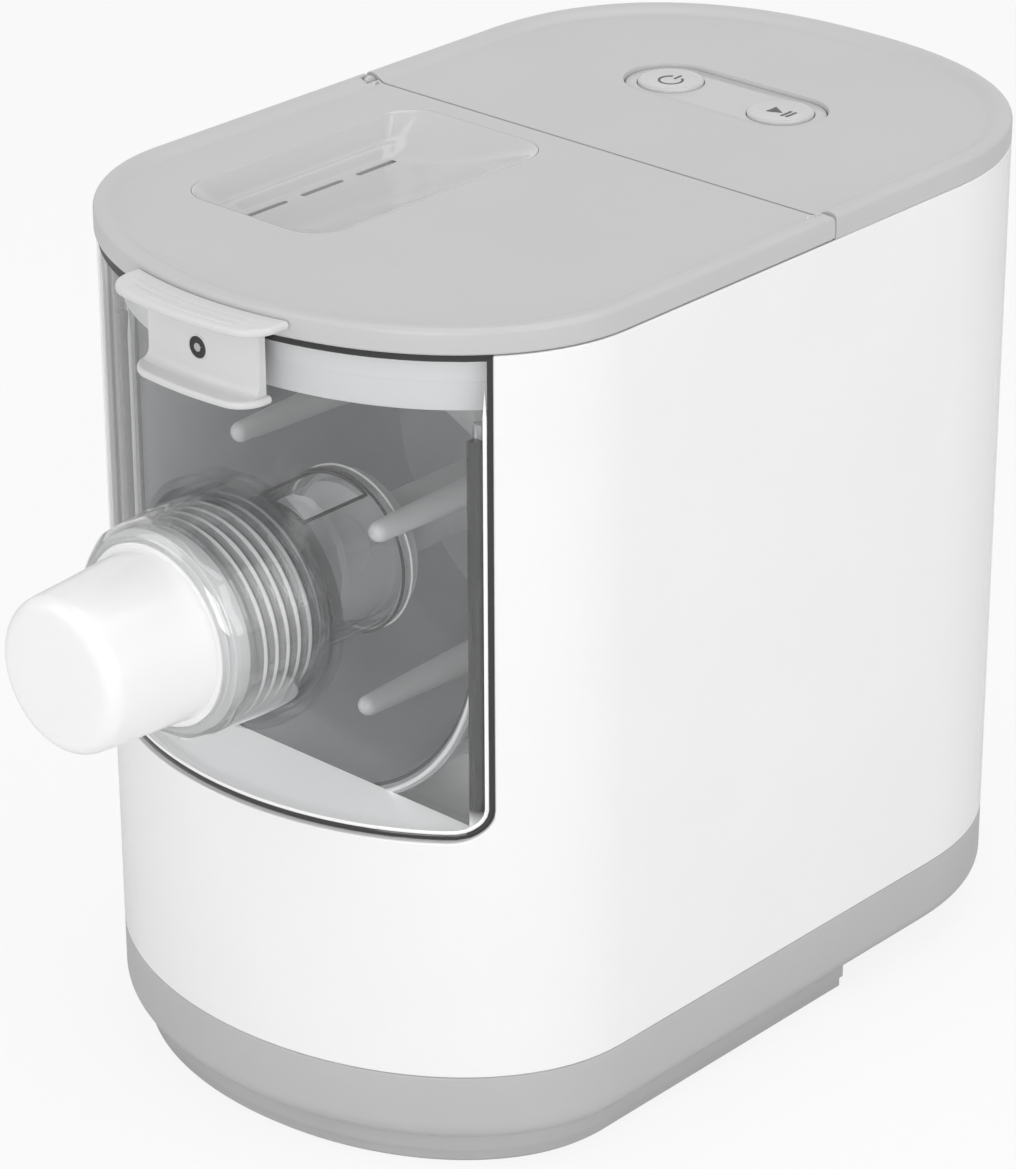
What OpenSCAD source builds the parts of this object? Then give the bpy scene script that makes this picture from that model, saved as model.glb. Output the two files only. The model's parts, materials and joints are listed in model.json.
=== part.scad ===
// Electric pasta maker: mixing chamber and extruder in front, drive behind the bulkhead.
// X is to the right seen from the front, Y is to the back, Z is up from the table.
// The origin is on the table, midway along the straight sides.

/* [Body outline] */
// Width over the white side walls
body_w = 170; // [150:1:200]
// Length of the straight part of the sides
straight_len = 133.6; // [110:0.2:160]
// Depth of the rounded front end
front_depth = 63.5; // [50:0.5:80]
// Depth of the rounded rear end
rear_depth = 71.7; // [55:0.1:90]
// Squareness of the front end, 2 is an ellipse
front_power = 2; // [1.9:0.02:2.4]
// Squareness of the rear end, 2 is an ellipse
rear_power = 2.28; // [1.9:0.02:2.6]
// Overall height to the top rim
total_h = 244.4; // [235:0.2:270]
// Wall of the white shell
shell_t = 2.6; // [2:0.1:4]

/* [Base] */
// Underside of the grey base behind the plinth
base_bottom = 9; // [6:0.5:14]
// Seam between the grey base and the white shell
base_top = 30.3; // [24:0.1:40]
// Wall and floor of the grey base
base_t = 3; // [2:0.1:4]
// Height of the rounding under the grey base
base_round = 7; // [3:0.5:10]
// How far the plinth stands in at the table
plinth_inset = 6.3; // [5:0.1:10]
// Wall and floor of the plinth
plinth_t = 2.5; // [2:0.1:4]
// Rear end of the plinth
plinth_rear_y = 36; // [10:1:60]
// Radius of a rubber foot
foot_r = 8; // [5:0.5:12]
// Depth of the pocket that holds a front foot
pad_t = 1.6; // [1:0.1:2.2]
// Radius of a foot's stem
foot_stem_r = 3; // [2:0.1:4]
// Thread radius of the plinth screws
base_screw_r = 1.75; // [1.25:0.05:2.5]

/* [Top] */
// Height of the grey band on lid and rear panel
band_h = 7.3; // [6:0.1:10]
// How far the top surface lies below the rim
dish_depth = 2; // [1:0.1:3]
// Width of the raised rim
rim_w = 4.2; // [3:0.1:6]
// Thickness of the top plates
top_t = 2.4; // [1.8:0.1:3.5]
// Y of the seam between lid and rear panel
seam_y = 16; // [8:0.5:24]
// Width of the seam between lid and rear panel
seam_gap = 0.4; // [0.3:0.05:0.8]
// Gap under the closed lid
lid_gap = 0.3; // [0.2:0.05:0.6]
// Height of the lid from the skirt's lower edge to the rim
skirt_h = 24.4; // [20:0.2:26]
// Thickness of the skirt
skirt_t = 2; // [1.5:0.1:3]

/* [Lid hinge] */
// Radius of a hinge pin
hinge_pin_r = 1.2; // [0.8:0.05:1.4]
// Radius of the hinge knuckle
hinge_r = 2.4; // [2.1:0.05:2.6]
// Width of the middle knuckle
knuckle_w = 2.5; // [2:0.1:3]
// Running clearance of pins and shafts
run_gap = 0.05; // [0.02:0.01:0.09]

/* [Water scoop] */
// Left edge of the scoop
scoop_x0 = -60; // [-64:0.5:-50]
// Right edge of the scoop
scoop_x1 = -6; // [-20:0.5:0]
// Front edge of the scoop
scoop_y0 = -83; // [-84:0.5:-60]
// Rear edge of the scoop
scoop_y1 = 8; // [-10:0.5:9]
// Depth of the scoop below the top surface
scoop_depth = 9.6; // [6:0.1:11]
// Wall of the scoop
scoop_t = 1.8; // [1.4:0.1:2.5]
// Corner radius of the scoop
scoop_r = 11; // [6:0.5:16]
// Length of one water slot
slot_l = 16; // [8:0.5:17]
// Width of one water slot
slot_w = 1.8; // [1:0.1:3]
// Land between two water slots
slot_land = 5.5; // [3:0.5:8]
// Number of water slots
slot_count = 3; // [1:1:3]

/* [Window] */
// Width left of the shell on each side of the window
window_side = 13.5; // [12:0.5:24]
// Lower edge of the window opening
window_z = 101; // [96:0.5:110]
// Corner radius of the window opening
window_r = 9; // [4:0.5:16]
// How far the clear pane lies behind the white surface
pane_inset = 1.45; // [0.8:0.05:1.8]
// Thickness of the clear pane
pane_t = 3; // [2:0.1:4]
// How far the pane reaches behind the shell on each side
pane_lap = 4; // [2:0.5:6]
// Clearance around the pane and other fixed fits
fit_gap = 0.3; // [0.15:0.05:0.5]

/* [Extruder] */
// Height of the extruder axis
axis_z = 156; // [148:0.5:162]
// Inner radius of the extruder barrel
barrel_bore_r = 19.5; // [16:0.1:20]
// Wall of the extruder barrel
barrel_t = 2.6; // [2:0.1:3.5]
// Rear end of the barrel
barrel_rear_y = -80; // [-86:0.5:-76]
// Front face of the barrel
barrel_front_y = -144.3; // [-150:0.1:-140]
// Radius of the threaded collar
collar_r = 27.6; // [25:0.1:28]
// Front end of the feed opening
feed_front_y = -108; // [-110:0.5:-100]
// Half angle of the feed opening about the top
feed_half_angle = 28; // [20:1:40]
// Radial clearance of the auger in the barrel
auger_gap = 0.5; // [0.3:0.05:1]
// Core radius of the auger
auger_core_r = 8.5; // [7.5:0.1:11]
// Lead of the auger flight
auger_lead = 21; // [14:1:30]
// Outer radius of the nut at its rear rim
nut_r = 31.2; // [30.5:0.1:33]
// Rear rim of the nut
nut_rear_y = -119; // [-121:0.5:-116]
// Thickness of the nut's front lip
nut_lip_t = 2.5; // [2:0.1:4]
// Radius of the nut's front opening
nut_mouth_r = 26.2; // [24:0.1:26.8]
// Thickness of the die
die_t = 4.9; // [3:0.1:6]
// Radius of one die hole
die_hole_r = 1.4; // [0.8:0.1:2]
// Number of holes in the outer ring of the die
die_holes = 12; // [6:1:14]

/* [Cap] */
// Front face of the cap
cap_front_y = -186; // [-200:1:-170]
// Radius of the cap at its front
cap_front_r = 21.3; // [18:0.1:22]
// Radius of the cap at its root
cap_root_r = 23.4; // [22:0.1:24]
// Wall of the cap
cap_t = 2; // [1.5:0.1:3]
// Rounding of the cap's front edge
cap_round = 4.5; // [2:0.1:6]

/* [Mixing bowl] */
// Room between the bowl's inner wall and the body's side
bowl_side = 24; // [23:0.5:30]
// Wall of the trough
bowl_t = 1.8; // [1.4:0.1:2.5]
// Front face of the trough
bowl_front_y = -98.5; // [-100:0.5:-92]
// Rear face of the trough
bowl_rear_y = 5; // [0:0.5:6]
// Room between the bowl's top and the lid's skirt
bowl_top_gap = 4; // [3:0.5:8]
// Width of the front rim of the trough
bowl_rim_w = 3.6; // [2:0.1:4]
// Rear end of the paddle fingers
finger_rear_y = -4; // [-12:0.5:-2]
// Front end of the paddle fingers
finger_front_y = -95; // [-97:0.5:-88]
// Radius of a finger's tip
finger_tip_r = 2.9; // [2:0.1:4]
// Radius of a finger's root
finger_root_r = 5.2; // [3:0.1:7]
// Distance of the long finger's tip from the axis
finger_near = 27.5; // [26:0.1:34]
// Gap between the far fingers' roots and the bowl's wall
finger_wall_gap = 8.8; // [6:0.2:16]
// Angle of the long finger above the right side
finger_angle = 34.6; // [0:0.1:60]

/* [Drive] */
// Radius of the drive shaft
shaft_r = 5; // [4:0.1:6]
// Tooth size of both gear pairs
gear_module = 1.25; // [1:0.05:1.3]
// Teeth of the pinion on the motor
pinion_teeth = 14; // [12:1:16]
// Teeth of the large idler wheel
idler_teeth = 56; // [48:1:58]
// Teeth of the small idler wheel
idler_pinion_teeth = 14; // [12:1:16]
// Teeth of the output gear
output_teeth = 70; // [60:1:72]
// Direction from the output gear to the idler, measured from +X
idler_angle = -128; // [-135:1:-120]
// Play between meshing teeth
gear_play = 0.16; // [0.1:0.02:0.3]
// Radius of the idler pin
idler_pin_r = 3; // [2:0.1:4]
// Radius of the motor can
motor_r = 33; // [26:0.5:36]
// Length of the motor can
motor_len = 66; // [50:1:76]
// Radius of the motor shaft
motor_shaft_r = 3; // [2:0.1:4]
// Wall of the gear case
case_t = 2.5; // [2:0.1:4]

/* [Controls] */
// Y of the two buttons
pad_y = 72.7; // [60:0.5:84]
// Half the distance between the two buttons
button_dx = 20; // [16:0.5:26]
// Radius of the control pad's round ends
pad_r = 13; // [11:0.1:15]
// Radius of a button
button_r = 9.4; // [7:0.1:10]
// How far the pad lies below the top surface
pad_sink = 1; // [0.5:0.1:1.4]
// How far a button stands above the pad
button_proud = 1; // [0.6:0.1:2]
// Travel of a button
button_travel = 0.8; // [0.5:0.1:1.2]
// Radial clearance of a button
button_gap = 0.2; // [0.1:0.05:0.4]
// Thickness of the circuit boards
board_t = 1.6; // [1:0.1:2]

/* [Handle] */
// Width of the handle's top flange
handle_w = 54; // [44:1:66]
// Width of the handle's web
handle_web_w = 40; // [30:1:46]
// Wall of the handle
handle_t = 2.2; // [1.8:0.1:3]
// How far the top flange stands out
handle_reach = 11.5; // [8:0.5:14]
// Depth of the handle's top below the rim
handle_drop = 2.2; // [1.5:0.1:5]
// Height of the handle
handle_h = 23.4; // [20:0.1:28]
// Radius of the handle screw's thread
handle_screw_r = 1.5; // [1:0.1:1.8]
// Height of the handle's screw above its lower edge
handle_screw_rise = 10.8; // [8:0.1:14]

/* [Power inlet] */
// Width of the inlet's recess
inlet_w = 24.4; // [20:0.2:28]
// Height of the inlet's recess
inlet_h = 16.8; // [14:0.2:20]
// Depth of the inlet's recess
inlet_depth = 15; // [10:0.5:20]
// Height of the inlet above the table
inlet_z = 52; // [46:0.5:70]

/* [Hidden] */
$fn = 64;

arc_steps = 36;
eps = 0.01;
half_w = body_w / 2;
window_w = body_w - 2 * window_side;
bowl_r = half_w - bowl_side;
finger_far = bowl_r - finger_wall_gap - finger_root_r;
skirt_bottom_z = total_h - skirt_h;
bowl_top_z = skirt_bottom_z - bowl_top_gap;
handle_top_z = total_h - handle_drop;
handle_bottom_z = handle_top_z - handle_h;
handle_screw_z = handle_bottom_z + handle_screw_rise;
half_straight = straight_len / 2;
front_y = -half_straight - front_depth;
rear_y = half_straight + rear_depth;
shell_top = total_h - band_h;
deck_z = total_h - dish_depth;
plate_z = deck_z - top_t;
floor_z = base_bottom + base_t;
lid_z = shell_top + lid_gap;
lid_rear_y = seam_y - seam_gap / 2;
panel_front_y = seam_y + seam_gap / 2;
hinge_y = lid_rear_y - hinge_r;
hinge_z = total_h - hinge_r;
hinge_x = half_w - rim_w;
pane_back = pane_inset + pane_t;
barrel_r = barrel_bore_r + barrel_t;
die_rear_y = barrel_front_y - fit_gap;
die_front_y = die_rear_y - die_t;
nut_front_y = die_front_y - fit_gap - nut_lip_t;
nut_bore_r = collar_r + 0.35;
auger_r = barrel_bore_r - auger_gap;
auger_front_y = barrel_front_y + 1;
hex_r = shaft_r + 0.7;
hex_gap = 0.12;
bulkhead_y = 8;
bulkhead_t = 3;
plate_y = bulkhead_y + bulkhead_t;
plate_t = 3;
case_y = plate_y + plate_t;
output_y = case_y + 2;
output_w = 8;
idler_y = output_y + output_w + 2;
idler_w = 6;
case_back_y = idler_y + idler_w + 4;
tooth_top = 0.8;
tooth_root = 1.15;
pressure_angle = 20;
output_pitch_r = output_teeth * gear_module / 2;
idler_pinion_pitch_r = idler_pinion_teeth * gear_module / 2;
idler_pitch_r = idler_teeth * gear_module / 2;
pinion_pitch_r = pinion_teeth * gear_module / 2;
output_centre = output_pitch_r + idler_pinion_pitch_r;
motor_centre = idler_pitch_r + pinion_pitch_r;
idler_x = output_centre * cos(idler_angle);
idler_z = axis_z + output_centre * sin(idler_angle);
motor_z = idler_z - sqrt(motor_centre * motor_centre - idler_x * idler_x);
motor_angle = atan2(motor_z - idler_z, -idler_x);

// Half of a superellipse: half width a, depth b, from the right to the left end.
function half_end(a, b, power) = [
    for (k = [0 : arc_steps])
        let (t = 180 * k / arc_steps)
        [a * sign(cos(t)) * pow(abs(cos(t)), 2 / power), b * pow(abs(sin(t)), 2 / power)]
];

// The plan outline, inset by the given distance.
function plan_points(inset) = concat(
    [for (p = half_end(half_w - inset, rear_depth - inset, rear_power))
        [p[0], half_straight + p[1]]],
    [for (p = half_end(half_w - inset, front_depth - inset, front_power))
        [-p[0], -half_straight - p[1]]]
);

module slab(inset, z0, z1) {
    translate([0, 0, z0])
        linear_extrude(z1 - z0)
            polygon(plan_points(inset));
}

module wall_ring(outer, inner, z0, z1) {
    difference() {
        slab(outer, z0, z1);
        slab(inner, z0 - 1, z1 + 1);
    }
}

module block(x0, x1, y0, y1, z0, z1) {
    translate([x0, y0, z0])
        cube([x1 - x0, y1 - y0, z1 - z0]);
}

module pair_x() {
    children();
    mirror([1, 0, 0]) children();
}

module ycyl(r, y0, y1, x = 0, z = axis_z, r2 = undef) {
    translate([x, y0, z])
        rotate([-90, 0, 0])
            cylinder(r1 = r, r2 = is_undef(r2) ? r : r2, h = y1 - y0);
}

module zcyl(r, z0, z1, x, y) {
    translate([x, y, z0])
        cylinder(r = r, h = z1 - z0);
}

module xcyl(r, x0, x1, y, z) {
    translate([x0, y, z])
        rotate([0, 90, 0])
            cylinder(r = r, h = x1 - x0);
}

module front_only(y) {
    intersection() {
        children();
        block(-half_w - 1, half_w + 1, front_y - 1, y, -1, total_h + 1);
    }
}

module rear_only(y) {
    intersection() {
        children();
        block(-half_w - 1, half_w + 1, y, rear_y + 1, -1, total_h + 1);
    }
}

module screw(x, y, z, r, length, head_r, head_h) {
    zcyl(head_r, z, z + head_h, x, y);
    zcyl(r, z + head_h - eps, z + length, x, y);
}

// ---- base ----

base_wall = shell_t + fit_gap;
foot_x = 48;
foot_y = 104;
pad_x = 44;
pad_ys = [-92, 18];
plinth_screw_x = 56;
plinth_screw_ys = [-70, 20];
boss_r = 4.5;
boss_h = 10;
screw_head_r = 3.2;
screw_head_h = 2;
round_steps = 5;

// Quarter-round inset at height fraction t of a rounded edge.
function round_inset(t) = 1 - sqrt(1 - (1 - t) * (1 - t));

module rounded_skirt(z0, height, inset) {
    step = height / round_steps;
    for (k = [0 : round_steps - 1])
        slab(inset * round_inset(k / round_steps), z0 + k * step, z0 + (k + 1) * step);
}

module base_pan() {
    color([0.73, 0.73, 0.74])
    difference() {
        union() {
            difference() {
                union() {
                    rounded_skirt(base_bottom, base_round, base_t);
                    slab(0, base_bottom + base_round, base_top);
                    wall_ring(base_wall, base_wall + base_t, base_top - eps, base_top + 5);
                }
                slab(base_wall + base_t, floor_z, base_top + 6);
            }
            pair_x()
                for (y = plinth_screw_ys)
                    zcyl(boss_r, floor_z - eps, floor_z + boss_h, plinth_screw_x, y);
            for (y = [board_y0, board_y1])
                pair_x() zcyl(board_boss_r, floor_z - eps, board_z, board_x, y);
        }
        pair_x() {
            for (y = plinth_screw_ys)
                zcyl(base_screw_r, base_bottom - 1, floor_z + boss_h - 1, plinth_screw_x, y);
            zcyl(foot_stem_r, base_bottom - 1, floor_z + 1, foot_x, foot_y);
            for (y = [board_y0, board_y1])
                zcyl(board_screw_r, floor_z + 1, board_z + 1, board_x, y);
        }
        for (k = [-vent_count : vent_count])
            block(k * vent_pitch - vent_w / 2, k * vent_pitch + vent_w / 2,
                  vent_y, vent_y + vent_l, base_bottom - 1, floor_z + 1);
    }
}

vent_count = 4;
vent_pitch = 7;
vent_w = 3;
vent_l = 34;
vent_y = 62;

module plinth() {
    color([0.72, 0.72, 0.73])
    difference() {
        front_only(plinth_rear_y)
            difference() {
                union() {
                    slab(plinth_inset, 0, base_bottom / 2);
                    slab(plinth_inset - 1.2, base_bottom / 2 - eps, base_bottom);
                }
                front_only(plinth_rear_y - plinth_t)
                    slab(plinth_inset + plinth_t, plinth_floor, base_bottom + 1);
            }
        pair_x() {
            for (y = pad_ys)
                zcyl(foot_r, -1, pad_t, pad_x, y);
            for (y = plinth_screw_ys) {
                zcyl(base_screw_r + fit_gap, -1, base_bottom, plinth_screw_x, y);
                zcyl(screw_head_r + fit_gap, -1, screw_seat_z, plinth_screw_x, y);
            }
        }
    }
}

plinth_floor = plinth_t + 1.5;
screw_seat_z = plinth_t;

module plinth_screws() {
    color([0.6, 0.6, 0.62])
    pair_x()
        for (y = plinth_screw_ys)
            screw(plinth_screw_x, y, screw_seat_z - screw_head_h, base_screw_r,
                  floor_z + boss_h - 3 - screw_seat_z + screw_head_h, screw_head_r, screw_head_h);
}

module rear_feet() {
    color([0.12, 0.12, 0.12])
    pair_x() {
        zcyl(foot_r, 0, base_bottom, foot_x, foot_y);
        zcyl(foot_stem_r, base_bottom - eps, floor_z + 1.5, foot_x, foot_y);
    }
}

module front_feet() {
    color([0.12, 0.12, 0.12])
    pair_x()
        for (y = pad_ys)
            zcyl(foot_r, 0, pad_t, pad_x, y);
}

// ---- white shell ----

rib_z = window_z - 8;
rib_t = 3;
rib_w = 5;
panel_screw_x = 40;
panel_screw_y = 116;
panel_boss_r = 4;
panel_boss_h = 16;
panel_screw_r = 1.5;

module window_opening(w, z0, r, z1) {
    intersection() {
        translate([0, front_y - 1, 0])
            rotate([-90, 0, 0])
                linear_extrude(front_depth)
                    union() {
                        translate([-w / 2, -z1])
                            square([w, z1 - z0 - r]);
                        translate([-w / 2 + r, -z1])
                            square([w - 2 * r, z1 - z0]);
                        translate([-w / 2 + r, -z0 - r])
                            circle(r);
                        translate([w / 2 - r, -z0 - r])
                            circle(r);
                    }
        block(-half_w, half_w, front_y - 2, -half_straight, 0, z1);
    }
}

module body_shell() {
    color([0.95, 0.95, 0.95])
    difference() {
        union() {
            wall_ring(0, shell_t, base_top, shell_top);
            front_only(chassis_front_y - fit_gap)
                wall_ring(shell_t - eps, shell_t + rib_w, rib_z, rib_z + rib_t);
            pair_x()
                intersection() {
                    block(panel_screw_x - panel_boss_r, panel_screw_x + panel_boss_r,
                          panel_screw_y - panel_boss_r, rear_y,
                          shell_top - panel_boss_h, shell_top);
                    slab(shell_t - eps, 0, shell_top);
                }
        }
        window_opening(window_w, window_z, window_r, shell_top + 1);
        pair_x()
            zcyl(panel_screw_r, shell_top - panel_boss_h - 1, shell_top + 1,
                 panel_screw_x, panel_screw_y);
        block(-inlet_w / 2 - inlet_t, inlet_w / 2 + inlet_t, rear_y - shell_t - 12, rear_y + 1,
              inlet_z - inlet_h / 2 - inlet_t, inlet_z + inlet_h / 2 + inlet_t);
    }
}

// ---- window and front frame ----

pocket_gap = 1.1;
pocket_r = nut_r + pocket_gap;
pocket_t = 2;
pocket_y = nut_rear_y + fit_gap;
lug_l = 4;
lug_r = barrel_r + 2.4;
lug_w = 12;
handle_notch_w = 14;

module window() {
    color([0.62, 0.64, 0.66, 0.5])
    difference() {
        union() {
            intersection() {
                wall_ring(pane_inset, pane_back, window_z + fit_gap, shell_top);
                window_opening(window_w - 2 * fit_gap, window_z + fit_gap, window_r, shell_top);
            }
            intersection() {
                wall_ring(shell_t + fit_gap, pane_back, rib_z + rib_t, shell_top);
                window_opening(window_w + 2 * pane_lap, rib_z + rib_t, window_r, shell_top);
            }
            intersection() {
                slab(pane_inset, 0, shell_top);
                ycyl(pocket_r + pocket_t, front_y, pocket_y + pocket_t);
            }
        }
        ycyl(pocket_r, front_y - 1, pocket_y);
        ycyl(barrel_r + fit_gap, front_y - 1, pocket_y + pocket_t + 1);
        block(-handle_notch_w / 2, handle_notch_w / 2, front_y - 1, front_y + 12,
              handle_screw_z - handle_notch_w / 2, shell_top + 1);
    }
}

frame_t = 3;
frame_inset = pane_back + fit_gap + 0.2;
frame_top_z = bowl_top_z - 4;
post_w = 3.4;

module front_frame() {
    color([0.86, 0.86, 0.87])
    union() {
        intersection() {
            slab(frame_inset, rib_z + rib_t, window_z);
            block(-half_w, half_w, front_y, bowl_front_y - fit_gap, 0, total_h);
        }
        pair_x()
            intersection() {
                slab(frame_inset, window_z - eps, frame_top_z);
                block(bowl_r + bowl_t, bowl_r + bowl_t + post_w,
                      bowl_front_y - fit_gap - frame_t, bowl_front_y - fit_gap, 0, total_h);
            }
    }
}

// ---- chassis and bowl ----

chassis_inset = base_wall + base_t + fit_gap;
chassis_x = half_w - chassis_inset - 2.8;
chassis_wall = 3;
chassis_front_y = -half_straight
    - (front_depth - chassis_inset) * sqrt(1 - pow(chassis_x / (half_w - chassis_inset), 2));
deck_plate_z = axis_z - bowl_r - bowl_t - 8;
cradle_ys = [-72, -14];
cradle_w = 4;
cradle_x = 46;
flange_t = 2.4;
seal_r = 9;

module chassis() {
    color([0.9, 0.9, 0.9])
    difference() {
        union() {
            block(-chassis_x, chassis_x, bulkhead_y, bulkhead_y + bulkhead_t,
                  floor_z, bowl_top_z);
            block(-chassis_x, chassis_x, chassis_front_y, bulkhead_y + 1,
                  deck_plate_z - chassis_wall, deck_plate_z);
            pair_x()
                block(chassis_x - chassis_wall, chassis_x, chassis_front_y, bulkhead_y + 1,
                      floor_z, bowl_top_z - flange_t);
            for (y = cradle_ys)
                block(-cradle_x, cradle_x, y - cradle_w / 2, y + cradle_w / 2,
                      deck_plate_z - eps, axis_z - 44);
        }
        ycyl(bowl_r + bowl_t + fit_gap, bowl_front_y - 1, bulkhead_y);
        ycyl(seal_r + 1, bulkhead_y - 1, bulkhead_y + bulkhead_t + 1);
    }
}

// A half-round trough with upright sides.
module trough_space(r, y0, y1, z1) {
    intersection() {
        ycyl(r, y0, y1);
        block(-r, r, y0, y1, axis_z - r, axis_z + eps);
    }
    block(-r, r, y0, y1, axis_z, z1);
}

module mixing_bowl() {
    color([0.7, 0.72, 0.74, 0.45])
    difference() {
        union() {
            trough_space(bowl_r + bowl_t, bowl_front_y, bowl_rear_y, bowl_top_z);
            trough_space(bowl_r + bowl_rim_w, bowl_front_y, bowl_front_y + 2, bowl_top_z);
            intersection() {
                block(-chassis_x, chassis_x, bowl_front_y, bowl_rear_y,
                      bowl_top_z - flange_t, bowl_top_z);
                slab(frame_inset, 0, total_h);
            }
            for (p = bowl_foot_places)
                zcyl(bowl_foot_r + 1.5, bowl_top_z - flange_t, bowl_top_z, p[0], p[1]);
        }
        trough_space(bowl_r, bowl_front_y - 1, bowl_rear_y - bowl_back_t, bowl_top_z + 1);
        ycyl(seal_r, bowl_rear_y - bowl_back_t - 1, bowl_rear_y + 1);
        for (p = bowl_foot_places)
            zcyl(bowl_foot_r, bowl_top_z - flange_t - 1, bowl_top_z + 1, p[0], p[1]);
    }
}

bowl_back_t = 2.6;
bowl_foot_r = 1.8;
bowl_foot_x = chassis_x - 6;
bowl_foot_places = [for (x = [-bowl_foot_x, bowl_foot_x], y = [-66, -6]) [x, y]];

// Soft buffers in the flange that the closed lid lands on.
module bowl_feet() {
    color([0.2, 0.2, 0.2])
    for (p = bowl_foot_places) {
        zcyl(bowl_foot_r, bowl_top_z - flange_t, bowl_top_z + eps, p[0], p[1]);
        zcyl(bowl_foot_r + 0.8, bowl_top_z, skirt_bottom_z - fit_gap - 2, p[0], p[1]);
    }
}

module shaft_seal() {
    color([0.3, 0.3, 0.31])
    difference() {
        union() {
            ycyl(seal_r, bowl_rear_y - bowl_back_t, bulkhead_y);
            ycyl(seal_r + 2.5, bowl_rear_y, bulkhead_y);
        }
        ycyl(shaft_r + fit_gap, bowl_rear_y - bowl_back_t - 1, bulkhead_y + 1);
    }
}

// ---- lid ----

skirt_upper_inset = pane_back + 0.95;
skirt_lower_inset = pane_back + 2.15;
skirt_step_z = skirt_bottom_z + 8;
skirt_rear_y = 7;
scoop_shrink = 9;
scoop_floor_x = 7;

module scoop_block(grow, z_top, z_floor) {
    hull() {
        for (x = [scoop_x0 + scoop_r, scoop_x1 - scoop_r])
            for (y = [scoop_y0 + scoop_r, scoop_y1 - scoop_r])
                translate([x, y, z_top])
                    cylinder(r = scoop_r + grow, h = eps, $fn = 32);
        for (y = [scoop_y0 + scoop_r + scoop_shrink, scoop_y1 - scoop_r - scoop_shrink])
            translate([scoop_x0 + scoop_floor_x + 3, y, z_floor])
                cylinder(r = 3 + grow, h = eps, $fn = 32);
    }
}

slot_x = scoop_x0 + scoop_floor_x + 3;
slot_pitch = slot_l + slot_land;
slot_mid_y = (scoop_y0 + scoop_y1) / 2;

module lid() {
    color([0.78, 0.78, 0.79])
    difference() {
        union() {
            front_only(lid_rear_y - hinge_r)
                top_cover(lid_z);
            intersection() {
                top_cover(lid_z);
                hinge_nose(-half_w, half_w);
            }
            pair_x()
                intersection() {
                    slab(0.4, lid_z, total_h);
                    union() {
                        hinge_nose(half_w - 2 * rim_w, half_w);
                        block(half_w - 2 * rim_w, half_w, hinge_y - 6, hinge_y, lid_z, hinge_z);
                    }
                }
            scoop_block(scoop_t, deck_z - eps, deck_z - scoop_depth - scoop_t);
        }
        scoop_block(0, deck_z + eps, deck_z - scoop_depth);
        for (k = [0 : slot_count - 1])
            block(slot_x - slot_w / 2, slot_x + slot_w / 2,
                  slot_mid_y + (k - (slot_count - 1) / 2) * slot_pitch - slot_l / 2,
                  slot_mid_y + (k - (slot_count - 1) / 2) * slot_pitch + slot_l / 2,
                  deck_z - scoop_depth - 5, deck_z);
        pair_x() {
            block(hinge_x - knuckle_w / 2 - seam_gap / 2, hinge_x + knuckle_w / 2 + seam_gap / 2,
                  hinge_y - hinge_r - seam_gap, seam_y + 1, lid_z - 1, total_h + 1);
            xcyl(hinge_pin_r + run_gap, hinge_x - pin_half - fit_gap, hinge_x + pin_half + fit_gap,
                 hinge_y, hinge_z);
        }
    }
}

pin_half = rim_w / 2 + 0.6;
nose_r = hinge_z - shell_top - 0.15;

// Rear edge of the lid, rounded about the hinge so that it clears the shell as it turns.
module hinge_nose(x0, x1) {
    xcyl(hinge_r, x0, x1, hinge_y, hinge_z);
    intersection() {
        xcyl(nose_r, x0, x1, hinge_y, hinge_z);
        block(x0, x1, hinge_y - eps, lid_rear_y, lid_z, hinge_z);
    }
}

// Band, raised rim and top plate of the whole top, to be cut at the seam.
module top_cover(z0) {
    difference() {
        union() {
            slab(0, z0, total_h - 1.2);
            slab(0.35, total_h - 1.2 - eps, total_h - 0.5);
            slab(0.9, total_h - 0.5 - eps, total_h);
        }
        slab(rim_w, deck_z, total_h + 1);
        slab(rim_w - 0.9, total_h - 0.8, total_h + 1);
        slab(rim_w, z0 - 1, plate_z);
    }
}

module lid_skirt() {
    color([0.74, 0.74, 0.75])
    difference() {
        union() {
            front_only(skirt_rear_y)
                wall_ring(skirt_upper_inset, skirt_upper_inset + skirt_t + 1.2,
                          skirt_step_z, plate_z);
            front_only(skirt_rear_y)
                wall_ring(skirt_lower_inset, skirt_lower_inset + skirt_t,
                          skirt_bottom_z, skirt_step_z + eps);
            intersection() {
                slab(skirt_lower_inset, 0, total_h);
                block(-half_w, half_w, skirt_rear_y - skirt_t, skirt_rear_y,
                      skirt_bottom_z, plate_z);
            }
            intersection() {
                slab(skirt_upper_inset, 0, total_h);
                ycyl(handle_boss_r + 1.5, front_y, skirt_boss_y, z = handle_screw_z);
            }
        }
        ycyl(handle_screw_r, front_y, skirt_boss_y + 1, z = handle_screw_z);
        scoop_block(scoop_t, deck_z - eps, deck_z - scoop_depth - scoop_t);
    }
}

skirt_boss_y = front_y + skirt_upper_inset + 7;
seal_inset = skirt_lower_inset + skirt_t;
seal_w = 3;

// Silicone strip under the lid, on three sides of the bowl.
module lid_seal() {
    color([0.55, 0.55, 0.56])
    difference() {
        intersection() {
            slab(seal_inset, bowl_top_z + fit_gap, skirt_bottom_z + 3);
            block(-half_w, half_w, bowl_front_y, skirt_rear_y - skirt_t,
                  bowl_top_z, total_h);
        }
        block(-bowl_r - 1, bowl_r + 1, bowl_front_y - 1, skirt_rear_y - skirt_t - seal_w,
              bowl_top_z - 1, total_h);
        slab_strip_cut();
    }
}

// Leaves a strip of the seal's width along both sides.
module slab_strip_cut() {
    difference() {
        slab(seal_inset + seal_w, bowl_top_z - 1, skirt_bottom_z + 4);
        block(-half_w, half_w, skirt_rear_y - skirt_t - seal_w, rear_y, 0, total_h);
    }
}

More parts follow.
